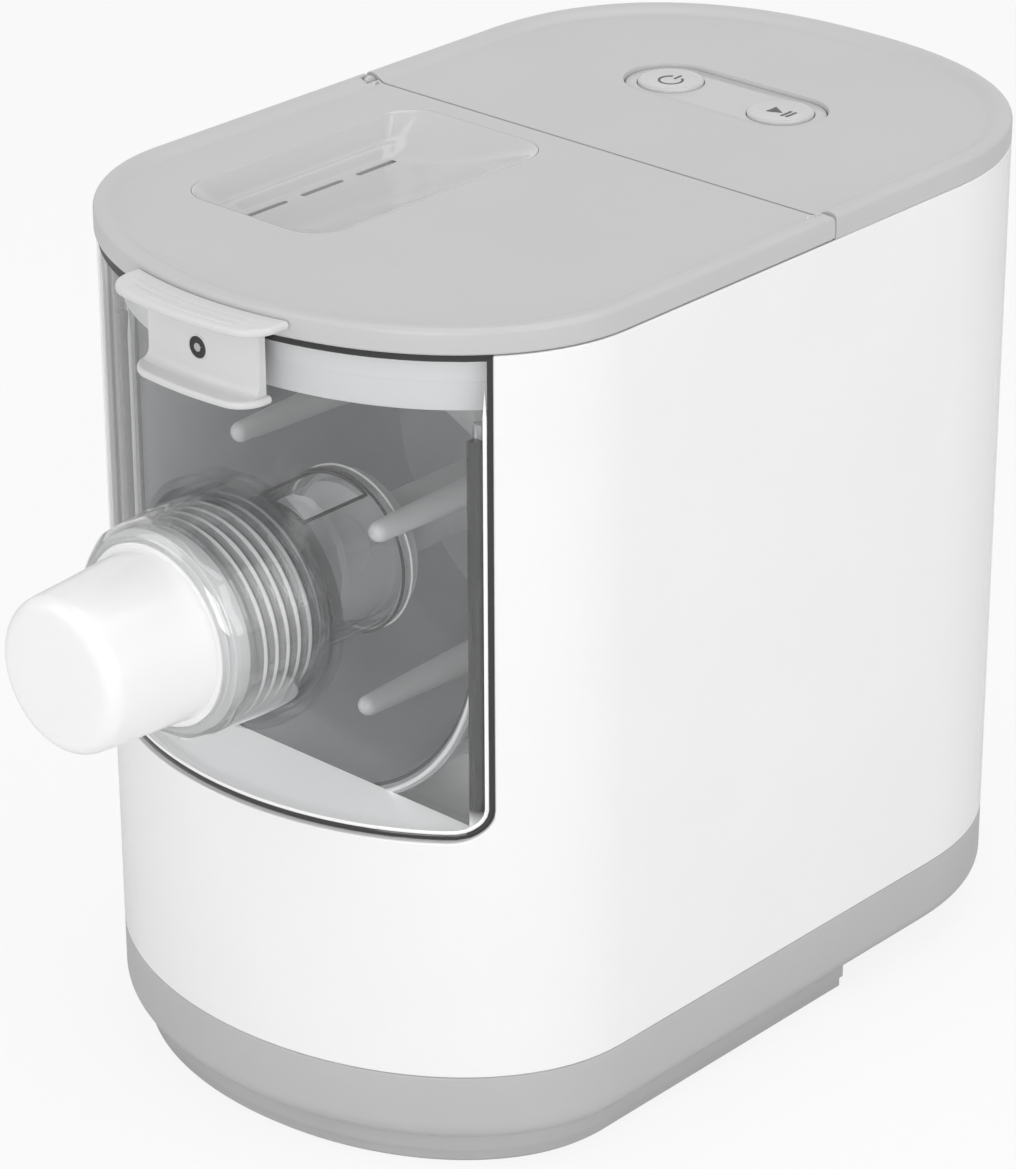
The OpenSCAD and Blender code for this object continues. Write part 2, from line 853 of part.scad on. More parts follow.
module hinge_pins() {
    color([0.7, 0.7, 0.72])
    pair_x()
        xcyl(hinge_pin_r, hinge_x - pin_half, hinge_x + pin_half, hinge_y, hinge_z);
}

handle_y = front_y - 0.4;
handle_boss_r = 4;
handle_lip_round = 7;
handle_edge_round = 0.5;
handle_low_reach = handle_reach - 2.5;
handle_low_w = handle_web_w + 3;
grip_rib_count = 3;
grip_rib_pitch = 2.6;
grip_rib_w = 1;
grip_rib_h = 0.5;
grip_rib_inset = 4;

// How far the front oval has fallen back at a distance x from the middle.
function front_rise(x) =
    front_depth * (1 - pow(1 - pow(abs(x) / half_w, front_power), 1 / front_power));

// Plate from y0 to y1 with rounded front corners, bent along the front oval.
module bent_plate(w, y0, y1, z0, z1, r) {
    turn = [for (k = [0 : 8]) 90 * k / 8];
    flat = concat(
        [for (a = turn) [-w / 2 + r - r * cos(a), y0 + r - r * sin(a)]],
        [for (k = [1 : 11]) [(w / 2 - r) * (k / 6 - 1), y0]],
        [for (a = turn) [w / 2 - r + r * sin(a), y0 + r - r * cos(a)]],
        [for (k = [0 : 12]) [w / 2 * (1 - k / 6), y1]]);
    translate([0, 0, z0])
        linear_extrude(z1 - z0)
            polygon([for (p = flat) [p[0], p[1] + front_rise(p[0])]]);
}

module lid_handle() {
    color([0.84, 0.84, 0.85])
    difference() {
        union() {
            bent_plate(handle_w, handle_y - handle_reach, handle_y,
                       handle_top_z - handle_t, handle_top_z, handle_lip_round);
            bent_plate(handle_low_w, handle_y - handle_low_reach, handle_y,
                       handle_bottom_z, handle_bottom_z + handle_t, handle_lip_round);
            bent_plate(handle_web_w, handle_y - handle_t, handle_y,
                       handle_bottom_z, handle_top_z, handle_edge_round);
            for (k = [0 : grip_rib_count - 1])
                translate([0, handle_y - handle_reach + 2 + k * grip_rib_pitch, 0])
                    bent_plate(handle_w - 2 * (grip_rib_inset + grip_rib_count - k),
                               0, grip_rib_w,
                               handle_top_z - eps, handle_top_z + grip_rib_h,
                               handle_edge_round / 2);
            ycyl(handle_boss_r, handle_y - eps, front_y + skirt_upper_inset - eps,
                 z = handle_screw_z);
        }
        ycyl(handle_screw_r + fit_gap, handle_y - handle_t - 1, front_y + 20,
             z = handle_screw_z);
        ycyl(handle_head_r + fit_gap, handle_y - handle_t - 1, handle_y - handle_t + 2,
             z = handle_screw_z);
    }
}

handle_head_r = 2.5;

module handle_screw() {
    color([0.5, 0.5, 0.52])
    union() {
        ycyl(handle_head_r, handle_y - handle_t + 0.4, handle_y - handle_t + 2,
             z = handle_screw_z);
        ycyl(handle_screw_r, handle_y - handle_t + 2 - eps, skirt_boss_y - 1,
             z = handle_screw_z);
    }
}

// ---- rear panel and controls ----

panel_lip_h = 5;

module rear_panel() {
    color([0.77, 0.77, 0.78])
    difference() {
        union() {
            rear_only(panel_front_y)
                difference() {
                    top_cover(shell_top);
                    stadium(pad_r + fit_gap, plate_z - 1, deck_z + 1);
                }
            rear_only(panel_front_y)
                difference() {
                    stadium(pad_r + fit_gap + 1.6, pad_bottom_z, plate_z + eps);
                    stadium(pad_r + fit_gap, pad_bottom_z + 1, deck_z + 1);
                    stadium(pad_r - 1.2, pad_bottom_z - 1, deck_z + 1);
                }
            rear_only(panel_front_y + 1)
                wall_ring(base_wall, base_wall + 1.8, shell_top - panel_lip_h, shell_top + eps);
            pair_x() {
                zcyl(panel_boss_r, shell_top, plate_z + eps, panel_screw_x, panel_screw_y);
                intersection() {
                    slab(0.4, 0, total_h);
                    union() {
                        xcyl(hinge_r, hinge_x - knuckle_w / 2, hinge_x + knuckle_w / 2,
                             hinge_y, hinge_z);
                        block(hinge_x - knuckle_w / 2, hinge_x + knuckle_w / 2,
                              hinge_y, panel_front_y + eps, hinge_z - hinge_r, total_h - dish_depth);
                    }
                }
            }
        }
        pair_x() {
            xcyl(hinge_pin_r, hinge_x - pin_half - 1, hinge_x + pin_half + 1, hinge_y, hinge_z);
            zcyl(panel_screw_r, shell_top - 1, deck_z - 0.8, panel_screw_x, panel_screw_y);
            block(panel_screw_x - panel_boss_r - fit_gap, panel_screw_x + panel_boss_r + fit_gap,
                  panel_screw_y - panel_boss_r - fit_gap, rear_y,
                  shell_top - panel_lip_h - 1, shell_top);
        }
    }
}

module panel_screws() {
    color([0.6, 0.6, 0.62])
    pair_x()
        screw(panel_screw_x, panel_screw_y, shell_top - panel_boss_h - screw_head_h,
              panel_screw_r - eps, panel_boss_h + screw_head_h + plate_z - shell_top,
              screw_head_r, screw_head_h);
}

pad_top_z = deck_z - pad_sink;
pad_t_plate = 2;
pad_plate_z = pad_top_z - pad_t_plate;
pad_bottom_z = pad_plate_z - 1;
board_top_z = pad_plate_z - 8;
post_r = 2;

module stadium(r, z0, z1) {
    translate([0, pad_y, z0])
        linear_extrude(z1 - z0)
            union() {
                translate([-button_dx, -r])
                    square([2 * button_dx, 2 * r]);
                translate([-button_dx, 0])
                    circle(r);
                translate([button_dx, 0])
                    circle(r);
            }
}

module control_pad() {
    color([0.8, 0.8, 0.81])
    difference() {
        union() {
            stadium(pad_r, pad_plate_z, pad_top_z);
            pair_x()
                zcyl(post_r, board_top_z, pad_plate_z + eps, 5, pad_y + 8);
            pair_x()
                zcyl(post_r, board_top_z, pad_plate_z + eps, 5, pad_y - 8);
        }
        pair_x()
            zcyl(button_r + button_gap, pad_plate_z - 1, pad_top_z + 1, button_dx, pad_y);
    }
}

button_top_z = pad_top_z + button_proud;
button_rim_z = pad_plate_z - 1.2;
switch_h = 3.2;
stem_z = board_top_z + switch_h + button_travel + 0.1;

module button(x) {
    zcyl(button_r, button_rim_z, button_top_z, x, pad_y);
    zcyl(button_r + 1, button_rim_z, button_rim_z + 1, x, pad_y);
    zcyl(2, stem_z, button_rim_z + eps, x, pad_y);
}

module power_button() {
    color([0.83, 0.83, 0.84])
    button(-button_dx);
}

module start_button() {
    color([0.83, 0.83, 0.84])
    button(button_dx);
}

module control_board() {
    color([0.1, 0.35, 0.2])
    block(-button_dx - 8, button_dx + 8, pad_y - 11, pad_y + 11,
          board_top_z - board_t, board_top_z);
}

module tact_switches() {
    color([0.15, 0.15, 0.15])
    pair_x() {
        block(button_dx - 3, button_dx + 3, pad_y - 3, pad_y + 3,
              board_top_z, board_top_z + switch_h - 0.7);
        zcyl(1.7, board_top_z + switch_h - 0.7 - eps, board_top_z + switch_h, button_dx, pad_y);
    }
}

switch_x = 56;
switch_w = 10;

// Interlock switch on the bulkhead, under the rear edge of the closed lid.
module lid_switch() {
    color([0.1, 0.1, 0.1])
    union() {
        block(-switch_x - switch_w, -switch_x + switch_w, plate_y, plate_y + 6,
              bowl_top_z - 20, bowl_top_z - 8);
        block(-switch_x - 1.5, -switch_x + 1.5, plate_y + 1.5, plate_y + 4.5,
              bowl_top_z - 8 - eps, bowl_top_z - 5.5);
    }
}

// ---- extruder ----

module barrel() {
    color([0.8, 0.83, 0.86, 0.45])
    difference() {
        union() {
            ycyl(barrel_r, barrel_front_y, barrel_rear_y);
            ycyl(collar_r, barrel_front_y, pocket_y - fit_gap);
            ycyl(barrel_r + 0.9, barrel_rear_y - 4, barrel_rear_y);
            intersection() {
                ycyl(lug_r, pocket_y + pocket_t + 0.2, pocket_y + pocket_t + 0.2 + lug_l);
                block(-half_w, half_w, front_y, 0, axis_z - lug_w / 2, axis_z + lug_w / 2);
            }
        }
        ycyl(barrel_bore_r, barrel_front_y - 1, barrel_rear_y + 1);
        feed_opening();
    }
}

module feed_opening() {
    reach = barrel_r + 4;
    translate([0, barrel_rear_y - 4, axis_z])
        rotate([90, 0, 0])
            linear_extrude(barrel_rear_y - 4 - feed_front_y)
                polygon([[0, 0],
                         [reach * tan(feed_half_angle), reach],
                         [-reach * tan(feed_half_angle), reach]]);
}

auger_len = barrel_rear_y - 0.5 - auger_front_y;
flight_deg = 46;

module auger() {
    color([0.93, 0.93, 0.93])
    difference() {
        union() {
            ycyl(auger_core_r, auger_front_y, barrel_rear_y - 0.5);
            translate([0, auger_front_y, axis_z])
                rotate([-90, 0, 0])
                    linear_extrude(auger_len, twist = 360 * auger_len / auger_lead,
                                   slices = 44)
                        polygon(concat([[0, 0]],
                            [for (k = [0 : 4])
                                let (a = flight_deg * (k / 4 - 0.5))
                                [auger_r * cos(a), auger_r * sin(a)]]));
        }
        hex_bore(auger_front_y + 3, barrel_rear_y);
    }
}

module hex_bore(y0, y1) {
    translate([0, y0, axis_z])
        rotate([-90, 0, 0])
            cylinder(r = hex_r + hex_gap, h = y1 - y0, $fn = 6);
}

hub_r = 9;
hub_disc_r = 21;
hub_disc_t = 4;
finger_angles = [finger_angle, finger_angle + 120, finger_angle + 240];
far_finger_y = finger_front_y + 14;

module finger(angle, tip_radius, root_radius, tip_y) {
    hull() {
        translate([tip_radius * cos(angle), tip_y + finger_tip_r, axis_z + tip_radius * sin(angle)])
            sphere(r = finger_tip_r, $fn = 24);
        translate([root_radius * cos(angle), finger_rear_y - 6, axis_z + root_radius * sin(angle)])
            rotate([-90, 0, 0])
                cylinder(r = finger_root_r, h = 6, $fn = 32);
    }
    translate([0, finger_rear_y, axis_z])
        rotate([90, 0, 0])
            rotate(angle)
                linear_extrude(9)
                    translate([0, -finger_root_r])
                        square([root_radius, 2 * finger_root_r]);
}

module paddle() {
    color([0.94, 0.94, 0.94])
    difference() {
        union() {
            ycyl(hub_r, barrel_rear_y, bowl_rear_y - bowl_back_t - 1.2);
            ycyl(hub_disc_r, barrel_rear_y + 0.5, barrel_rear_y + 0.5 + hub_disc_t);
            finger(finger_angles[0], finger_near, finger_near + 5, finger_front_y);
            finger(finger_angles[1], finger_far, finger_far, far_finger_y);
            finger(finger_angles[2], finger_far, finger_far, far_finger_y);
        }
        hex_bore(barrel_rear_y - 1, bowl_rear_y);
    }
}

shaft_rear_y = case_back_y + case_t - 0.5;

module drive_shaft() {
    color([0.75, 0.75, 0.77])
    union() {
        ycyl(shaft_r, bowl_rear_y - bowl_back_t - 1, shaft_rear_y);
        translate([0, auger_front_y + 4, axis_z])
            rotate([-90, 0, 0])
                cylinder(r = hex_r, h = bowl_rear_y - bowl_back_t - 1 - auger_front_y - 4, $fn = 6);
    }
}

die_ring_r = 14;
die_inner_ring_r = 8;

module die() {
    color([0.92, 0.92, 0.9])
    difference() {
        ycyl(collar_r, die_front_y, die_rear_y);
        for (k = [0 : die_holes - 1])
            die_hole(die_ring_r, 360 * k / die_holes);
        for (k = [0 : die_holes / 2 - 1])
            die_hole(die_inner_ring_r, 720 * k / die_holes);
    }
}

module die_hole(radius, angle) {
    translate([radius * cos(angle), die_front_y - 1, axis_z + radius * sin(angle)])
        rotate([-90, 0, 0])
            cylinder(r = die_hole_r, h = die_t + 2, $fn = 12);
}

nut_front_r = nut_r - 1.6;
nut_chamfer = 3;

module nut() {
    color([0.85, 0.88, 0.9, 0.4])
    difference() {
        union() {
            ycyl(nut_front_r - nut_chamfer, nut_front_y, nut_front_y + nut_chamfer + eps,
                 r2 = nut_front_r);
            ycyl(nut_front_r, nut_front_y + nut_chamfer, nut_rear_y, r2 = nut_r);
        }
        ycyl(nut_mouth_r, nut_front_y - 1, nut_rear_y);
        ycyl(nut_bore_r, nut_front_y + nut_lip_t, nut_rear_y + 1);
    }
}

cap_flange_r = nut_mouth_r - fit_gap;
cap_flange_t = 2.4;
cap_rear_y = die_front_y - 0.2;
cap_len = cap_rear_y - cap_front_y;
cap_foot = 0.6;

module cap() {
    color([0.96, 0.96, 0.96])
    translate([0, cap_front_y, axis_z])
        rotate([-90, 0, 0])
            rotate_extrude()
                polygon(concat(
                    [[0, cap_t], [0, 0]],
                    [for (k = [0 : 6])
                        let (a = 90 * k / 6)
                        [cap_front_r - cap_round + cap_round * sin(a),
                         cap_round - cap_round * cos(a)]],
                    [[cap_root_r, cap_len - cap_flange_t],
                     [cap_flange_r, cap_len - cap_flange_t],
                     [cap_flange_r, cap_len],
                     [cap_root_r - cap_t, cap_len],
                     [cap_front_r - cap_t, cap_t + cap_foot],
                     [cap_front_r - cap_t - cap_foot, cap_t]]));
}

// ---- gears ----

function base_r(teeth) = teeth * gear_module / 2 * cos(pressure_angle);
function involute_deg(rb, r) = r <= rb ? 0
    : let (c = acos(rb / r)) tan(c) * 180 / PI - c;

// Half tooth thickness at radius r, as an angle.
function half_tooth_deg(teeth, r) =
    let (pitch_r = teeth * gear_module / 2, rb = base_r(teeth))
    90 / teeth - gear_play / 4 / pitch_r * 180 / PI
        + involute_deg(rb, pitch_r) - involute_deg(rb, max(r, rb));

function tooth_points(teeth) =
    let (pitch_r = teeth * gear_module / 2,
         top = pitch_r + tooth_top * gear_module,
         root = pitch_r - tooth_root * gear_module,
         low = max(root, min(base_r(teeth), pitch_r)),
         radii = [root, low, low + (top - low) / 3, low + (top - low) * 2 / 3, top])
    concat(
        [for (r = radii) [r, -half_tooth_deg(teeth, r)]],
        [for (k = [4 : -1 : 0]) [radii[k], half_tooth_deg(teeth, radii[k])]]);

// A spur gear in the XZ plane with one tooth along phase.
module gear(teeth, x, z, y0, y1, phase) {
    translate([x, y1, z])
        rotate([90, 0, 0])
            rotate(phase)
                linear_extrude(y1 - y0)
                    polygon([
                        for (k = [0 : teeth - 1])
                            for (p = tooth_points(teeth))
                                let (a = 360 * k / teeth + p[1])
                                [p[0] * cos(a), p[0] * sin(a)]
                    ]);
}

module output_gear() {
    color([0.88, 0.86, 0.78])
    difference() {
        union() {
            gear(output_teeth, 0, axis_z, output_y, output_y + output_w, idler_angle);
            ycyl(shaft_r + 5, output_y, output_y + output_w + 6);
        }
        ycyl(shaft_r, output_y - 1, output_y + output_w + 7);
        for (k = [0 : 5])
            ycyl(output_pitch_r / 6, output_y - 1, output_y + output_w + 1,
                 output_pitch_r * 0.58 * cos(60 * k), axis_z + output_pitch_r * 0.58 * sin(60 * k));
    }
}

module idler_gear() {
    color([0.9, 0.88, 0.8])
    difference() {
        union() {
            gear(idler_pinion_teeth, idler_x, idler_z, output_y - 0.5, idler_y + eps,
                 idler_angle + 180 + 180 / idler_pinion_teeth);
            gear(idler_teeth, idler_x, idler_z, idler_y, idler_y + idler_w, motor_angle);
        }
        ycyl(idler_pin_r + run_gap, output_y - 2, idler_y + idler_w + 1, idler_x, idler_z);
    }
}

module idler_pin() {
    color([0.72, 0.72, 0.74])
    ycyl(idler_pin_r, plate_y + 0.5, case_back_y + case_t - 0.5, idler_x, idler_z);
}

motor_front_y = case_back_y + case_t;

module motor_pinion() {
    color([0.8, 0.7, 0.4])
    difference() {
        gear(pinion_teeth, 0, motor_z, idler_y - 0.5, idler_y + idler_w + 0.5,
             motor_angle + 180 + 180 / pinion_teeth);
        ycyl(motor_shaft_r, idler_y - 2, idler_y + idler_w + 2, z = motor_z);
    }
}

module motor_shaft() {
    color([0.72, 0.72, 0.74])
    union() {
        ycyl(motor_shaft_r, idler_y - 1, motor_front_y + motor_len - 2, z = motor_z);
        ycyl(motor_r * 0.55, motor_front_y + 10, motor_front_y + motor_len - 22, z = motor_z);
    }
}

fan_y = motor_front_y + motor_len - 16;
fan_w = 7;
fan_blades = 7;
fan_hub_r = 7;

module motor_fan() {
    color([0.25, 0.25, 0.26])
    difference() {
        union() {
            ycyl(fan_hub_r, fan_y, fan_y + fan_w + 1, z = motor_z);
            for (k = [0 : fan_blades - 1])
                translate([0, fan_y, motor_z])
                    rotate([0, 360 * (k + 0.5) / fan_blades, 0])
                        translate([fan_hub_r - 1, 0, -0.8])
                            cube([motor_r * 0.78 - fan_hub_r, fan_w, 1.6]);
        }
        ycyl(motor_shaft_r, fan_y - 1, fan_y + fan_w + 2, z = motor_z);
    }
}

motor_wall = 2;
motor_hole_r = 5;

module motor_can() {
    color([0.66, 0.66, 0.68])
    difference() {
        ycyl(motor_r, motor_front_y, motor_front_y + motor_len - 4, z = motor_z);
        ycyl(motor_r - motor_wall, motor_front_y + motor_wall, motor_front_y + motor_len,
             z = motor_z);
        ycyl(motor_shaft_r + run_gap, motor_front_y - 1, motor_front_y + motor_wall + 1,
             z = motor_z);
        for (x = motor_screw_xs)
            ycyl(motor_screw_r, motor_front_y - 1, motor_front_y + motor_wall + 1, x, motor_z);
    }
}

module motor_cap() {
    color([0.3, 0.3, 0.31])
    difference() {
        union() {
            ycyl(motor_r, motor_front_y + motor_len - 4, motor_front_y + motor_len, z = motor_z);
            ycyl(motor_r - motor_wall, motor_front_y + motor_len - 6,
                 motor_front_y + motor_len - 4 + eps, z = motor_z);
        }
        ycyl(motor_shaft_r + run_gap, motor_front_y + motor_len - 7,
             motor_front_y + motor_len - 1.5, z = motor_z);
        for (k = [0 : 7])
            translate([0, motor_front_y + motor_len - 7, motor_z])
                rotate([0, 360 * k / 8, 0])
                    translate([motor_r * 0.35, 0, -2])
                        cube([motor_r * 0.4, 8, 4]);
    }
}

motor_screw_xs = [-20, 20];
motor_screw_r = 2;

module motor_screws() {
    color([0.6, 0.6, 0.62])
    for (x = motor_screw_xs) {
        ycyl(3.6, case_back_y - 1.8, case_back_y, x, motor_z);
        ycyl(motor_screw_r, case_back_y - eps, motor_front_y + motor_wall + 1, x, motor_z);
    }
}

// ---- gear case ----

mesh_clear = 2;
case_screw_r = 2;
case_ear_r = 5;

// The three bosses of the gear case: [x, z, radius].
function case_rounds(extra) = [
    [0, axis_z, output_pitch_r + gear_module + mesh_clear + extra],
    [idler_x, idler_z, idler_pitch_r + gear_module + mesh_clear + extra],
    [0, motor_z, motor_r - 4 + extra]
];

case_screw_places = [
    [output_pitch_r + 9, axis_z + 12], [-output_pitch_r - 9, axis_z + 12],
    [motor_r + 3, motor_z - 8], [idler_x - idler_pitch_r - 2, idler_z - 26]
];

module case_solid(extra, y0, y1) {
    for (c = case_rounds(extra))
        ycyl(c[2], y0, y1, c[0], c[1]);
}

module case_ears(y0, y1) {
    for (p = case_screw_places)
        ycyl(case_ear_r, y0, y1, p[0], p[1]);
}

module gear_plate() {
    color([0.76, 0.76, 0.78])
    difference() {
        union() {
            case_solid(case_t, plate_y, case_y);
            case_ears(plate_y, case_y);
        }
        ycyl(bush_r, plate_y - 1, case_y + 1);
        ycyl(idler_pin_r, plate_y + 0.5, case_y + 1, idler_x, idler_z);
        for (p = case_screw_places)
            ycyl(case_screw_r, plate_y - 1, case_y + 1, p[0], p[1]);
    }
}

bush_r = 8;

module gear_case() {
    color([0.55, 0.56, 0.58])
    difference() {
        union() {
            case_solid(case_t, case_y, case_back_y + case_t);
            case_ears(case_y, case_y + 6);
        }
        case_solid(0, case_y - 1, case_back_y);
        ycyl(bush_r, case_back_y - 1, case_back_y + case_t + 1);
        ycyl(idler_pin_r, case_back_y - 1, case_back_y + case_t - 0.5, idler_x, idler_z);
        ycyl(motor_hole_r, case_back_y - 1, case_back_y + case_t + 1, z = motor_z);
        for (x = motor_screw_xs)
            ycyl(motor_screw_r + run_gap, case_back_y - 1, case_back_y + case_t + 1, x, motor_z);
        for (p = case_screw_places)
            ycyl(case_screw_r + run_gap, case_y - 1, case_y + 7, p[0], p[1]);
    }
}

module case_screws() {
    color([0.6, 0.6, 0.62])
    for (p = case_screw_places) {
        ycyl(3.6, case_y + 6, case_y + 8, p[0], p[1]);
        ycyl(case_screw_r, plate_y + 0.2, case_y + 6 + eps, p[0], p[1]);
    }
}

module bush(y0, y1) {
    color([0.72, 0.55, 0.3])
    difference() {
        ycyl(bush_r, y0, y1);
        ycyl(shaft_r + run_gap, y0 - 1, y1 + 1);
    }
}

module front_bush() {
    bush(plate_y, case_y + 1.5);
}

module rear_bush() {
    bush(case_back_y - 2, case_back_y + case_t);
}

// ---- power ----

board_x = 30;
board_y0 = 66;
board_y1 = 112;
board_z = floor_z + 6;
board_boss_r = 3.5;
board_screw_r = 1.25;

module power_board() {
    color([0.12, 0.4, 0.22])
    difference() {
        union() {
            block(-board_x - 6, board_x + 6, board_y0 - 6, board_y1 + 6, board_z,
                  board_z + board_t);
            block(-24, -6, board_y0 + 4, board_y0 + 20, board_z + board_t - eps, board_z + 15);
            zcyl(6, board_z + board_t - eps, board_z + 19, 14, board_y0 + 12);
            block(-20, 20, board_y1 - 14, board_y1 - 6, board_z + board_t - eps, board_z + 11);
        }
        pair_x()
            for (y = [board_y0, board_y1])
                zcyl(board_screw_r + fit_gap, board_z - 1, board_z + board_t + 1, board_x, y);
    }
}

module board_screws() {
    color([0.6, 0.6, 0.62])
    pair_x()
        for (y = [board_y0, board_y1]) {
            zcyl(2.6, board_z + board_t, board_z + board_t + 1.6, board_x, y);
            zcyl(board_screw_r - eps, floor_z + 2, board_z + board_t + eps, board_x, y);
        }
}

inlet_t = 2;
inlet_flange = 3.5;
inlet_front_y = rear_y - inlet_depth - 3;

module power_inlet() {
    color([0.13, 0.13, 0.14])
    difference() {
        union() {
            block(-inlet_w / 2 - inlet_t, inlet_w / 2 + inlet_t, inlet_front_y, rear_y,
                  inlet_z - inlet_h / 2 - inlet_t, inlet_z + inlet_h / 2 + inlet_t);
            block(-inlet_w / 2 - inlet_t - inlet_flange, inlet_w / 2 + inlet_t + inlet_flange,
                  rear_y, rear_y + 1.5,
                  inlet_z - inlet_h / 2 - inlet_t - 2, inlet_z + inlet_h / 2 + inlet_t + 2);
        }
        block(-inlet_w / 2, inlet_w / 2, inlet_front_y + 3, rear_y + 3,
              inlet_z - inlet_h / 2, inlet_z + inlet_h / 2);
        for (p = inlet_pin_places)
            block(p[0] - 1, p[0] + 1, inlet_front_y - 1, inlet_front_y + 4, p[1] - 2, p[1] + 2);
    }
}

inlet_pin_places = [[-7, inlet_z - 3], [7, inlet_z - 3], [0, inlet_z + 1.5]];

module inlet_pins() {
    color([0.8, 0.8, 0.8])
    for (p = inlet_pin_places)
        block(p[0] - 1, p[0] + 1, inlet_front_y - 5, rear_y - 3, p[1] - 2, p[1] + 2);
}

body_shell();
base_pan();
plinth();
plinth_screws();
rear_feet();
front_feet();
chassis();
front_frame();
window();
mixing_bowl();
bowl_feet();
shaft_seal();
lid();
lid_skirt();
lid_seal();
hinge_pins();
lid_handle();
handle_screw();
rear_panel();
panel_screws();
control_pad();
power_button();
start_button();
control_board();
tact_switches();
lid_switch();
barrel();
auger();
paddle();
drive_shaft();
die();
nut();
cap();
gear_plate();
gear_case();
case_screws();
front_bush();
rear_bush();
output_gear();
idler_gear();
idler_pin();
motor_pinion();
motor_shaft();
motor_fan();
motor_can();
motor_cap();
motor_screws();
power_board();
board_screws();
power_inlet();
inlet_pins();
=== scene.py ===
import bpy
import bmesh
import numpy as np
from math import cos, radians, sin
from mathutils import Matrix, Vector
from mathutils.geometry import tessellate_polygon
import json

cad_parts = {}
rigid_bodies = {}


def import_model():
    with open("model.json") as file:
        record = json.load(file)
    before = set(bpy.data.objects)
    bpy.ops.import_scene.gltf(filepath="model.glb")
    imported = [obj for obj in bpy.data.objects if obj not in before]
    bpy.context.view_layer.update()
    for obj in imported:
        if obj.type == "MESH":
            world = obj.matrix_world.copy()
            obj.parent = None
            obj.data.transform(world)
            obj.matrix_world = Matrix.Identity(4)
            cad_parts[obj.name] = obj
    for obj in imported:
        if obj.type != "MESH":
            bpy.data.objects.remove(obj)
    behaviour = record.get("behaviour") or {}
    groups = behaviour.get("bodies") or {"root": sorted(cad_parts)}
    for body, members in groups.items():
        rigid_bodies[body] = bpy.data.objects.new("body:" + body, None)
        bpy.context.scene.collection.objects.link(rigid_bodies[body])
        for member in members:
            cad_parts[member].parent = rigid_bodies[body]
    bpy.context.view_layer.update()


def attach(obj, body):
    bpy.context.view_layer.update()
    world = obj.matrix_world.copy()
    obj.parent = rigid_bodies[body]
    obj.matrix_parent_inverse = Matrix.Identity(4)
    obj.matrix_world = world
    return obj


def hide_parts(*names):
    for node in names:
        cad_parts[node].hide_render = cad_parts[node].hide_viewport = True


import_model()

MM = 0.001

# ---- the part's own measures, in millimetres ----
HALF_W = 85.0
HALF_STRAIGHT = 66.8
FRONT_DEPTH, FRONT_POWER = 63.5, 2.0
REAR_DEPTH, REAR_POWER = 71.7, 2.28
FRONT_Y = -130.3
TOTAL_H = 244.4
SHELL_TOP = 237.1
SHELL_T = 2.6
DECK_Z = 242.4
BASE_BOTTOM, BASE_TOP, BASE_ROUND = 9.0, 30.3, 7.0
LID_REAR_Y, PANEL_FRONT_Y = 15.8, 16.2
HINGE_Y, HINGE_Z, HINGE_R, NOSE_R = 13.4, 242.0, 2.4, 4.75
AXIS_Z = 156.0
WINDOW_X, WINDOW_Z, WINDOW_R = 71.5, 101.0, 9.0
PAD_Y, PAD_LOW, PAD_TOP = 72.7, 239.4, 241.4
BUTTON_X, BUTTON_TOP, BUTTON_DISH = 20.0, 242.4, 8.0
INLET_HALF_W, INLET_Z, INLET_HALF_H = 13.4, 52.0, 9.6
THREAD_PITCH = 4.0


# ---- outlines seen from above ----

def half_oval(half_width, depth, power, turn):
    """Superellipse: x = a |cos t|^(2/p) and y = b |sin t|^(2/p), each with its own sign."""
    c, s = np.cos(turn), np.sin(turn)
    return (half_width * np.sign(c) * np.abs(c) ** (2 / power),
            depth * np.sign(s) * np.abs(s) ** (2 / power))


def side_steps(start, stop, fine=()):
    """Even steps of about 14 mm from start to stop, with the given places put in as well."""
    even = np.linspace(start, stop, max(2, int(abs(stop - start) / 14) + 2))
    steps = np.unique(np.round(np.concatenate([even, np.asarray(fine, float)]), 6))
    return steps if stop > start else steps[::-1]


def front_run(inset, rear_end, fine=(), arc=84):
    """Seam to seam by the front: straight side, front half oval, straight side."""
    turn = np.linspace(np.pi, 2 * np.pi, arc + 1)
    x, y = half_oval(HALF_W - inset, FRONT_DEPTH - inset, FRONT_POWER, turn)
    back = side_steps(rear_end, -HALF_STRAIGHT, fine)[:-1]
    left = np.stack([0 * back - (HALF_W - inset), back], 1)
    right = np.stack([0 * back + (HALF_W - inset), back], 1)[::-1]
    return np.concatenate([left, np.stack([x, y - HALF_STRAIGHT], 1), right])


def rear_run(inset, front_end, arc=96):
    """Seam to seam by the rear: straight side, rear half oval, straight side."""
    turn = np.linspace(0, np.pi, arc + 1)
    x, y = half_oval(HALF_W - inset, REAR_DEPTH - inset, REAR_POWER, turn)
    ahead = side_steps(front_end, HALF_STRAIGHT)[:-1]
    right = np.stack([0 * ahead + (HALF_W - inset), ahead], 1)
    left = np.stack([0 * ahead - (HALF_W - inset), ahead], 1)[::-1]
    return np.concatenate([right, np.stack([x, y + HALF_STRAIGHT], 1), left])


def whole_run(inset):
    """The closed outline: the front run and the rear run joined at y = 0."""
    return np.concatenate([front_run(inset, 0.0), rear_run(inset, 0.0)[1:-1]])


def front_wall_y(x, inset=0.0):
    """Depth of the front wall at a given x: the front half oval solved for y."""
    a, b = HALF_W - inset, FRONT_DEPTH - inset
    return -HALF_STRAIGHT - b * np.sqrt(np.clip(1 - (np.asarray(x) / a) ** 2, 0, 1))


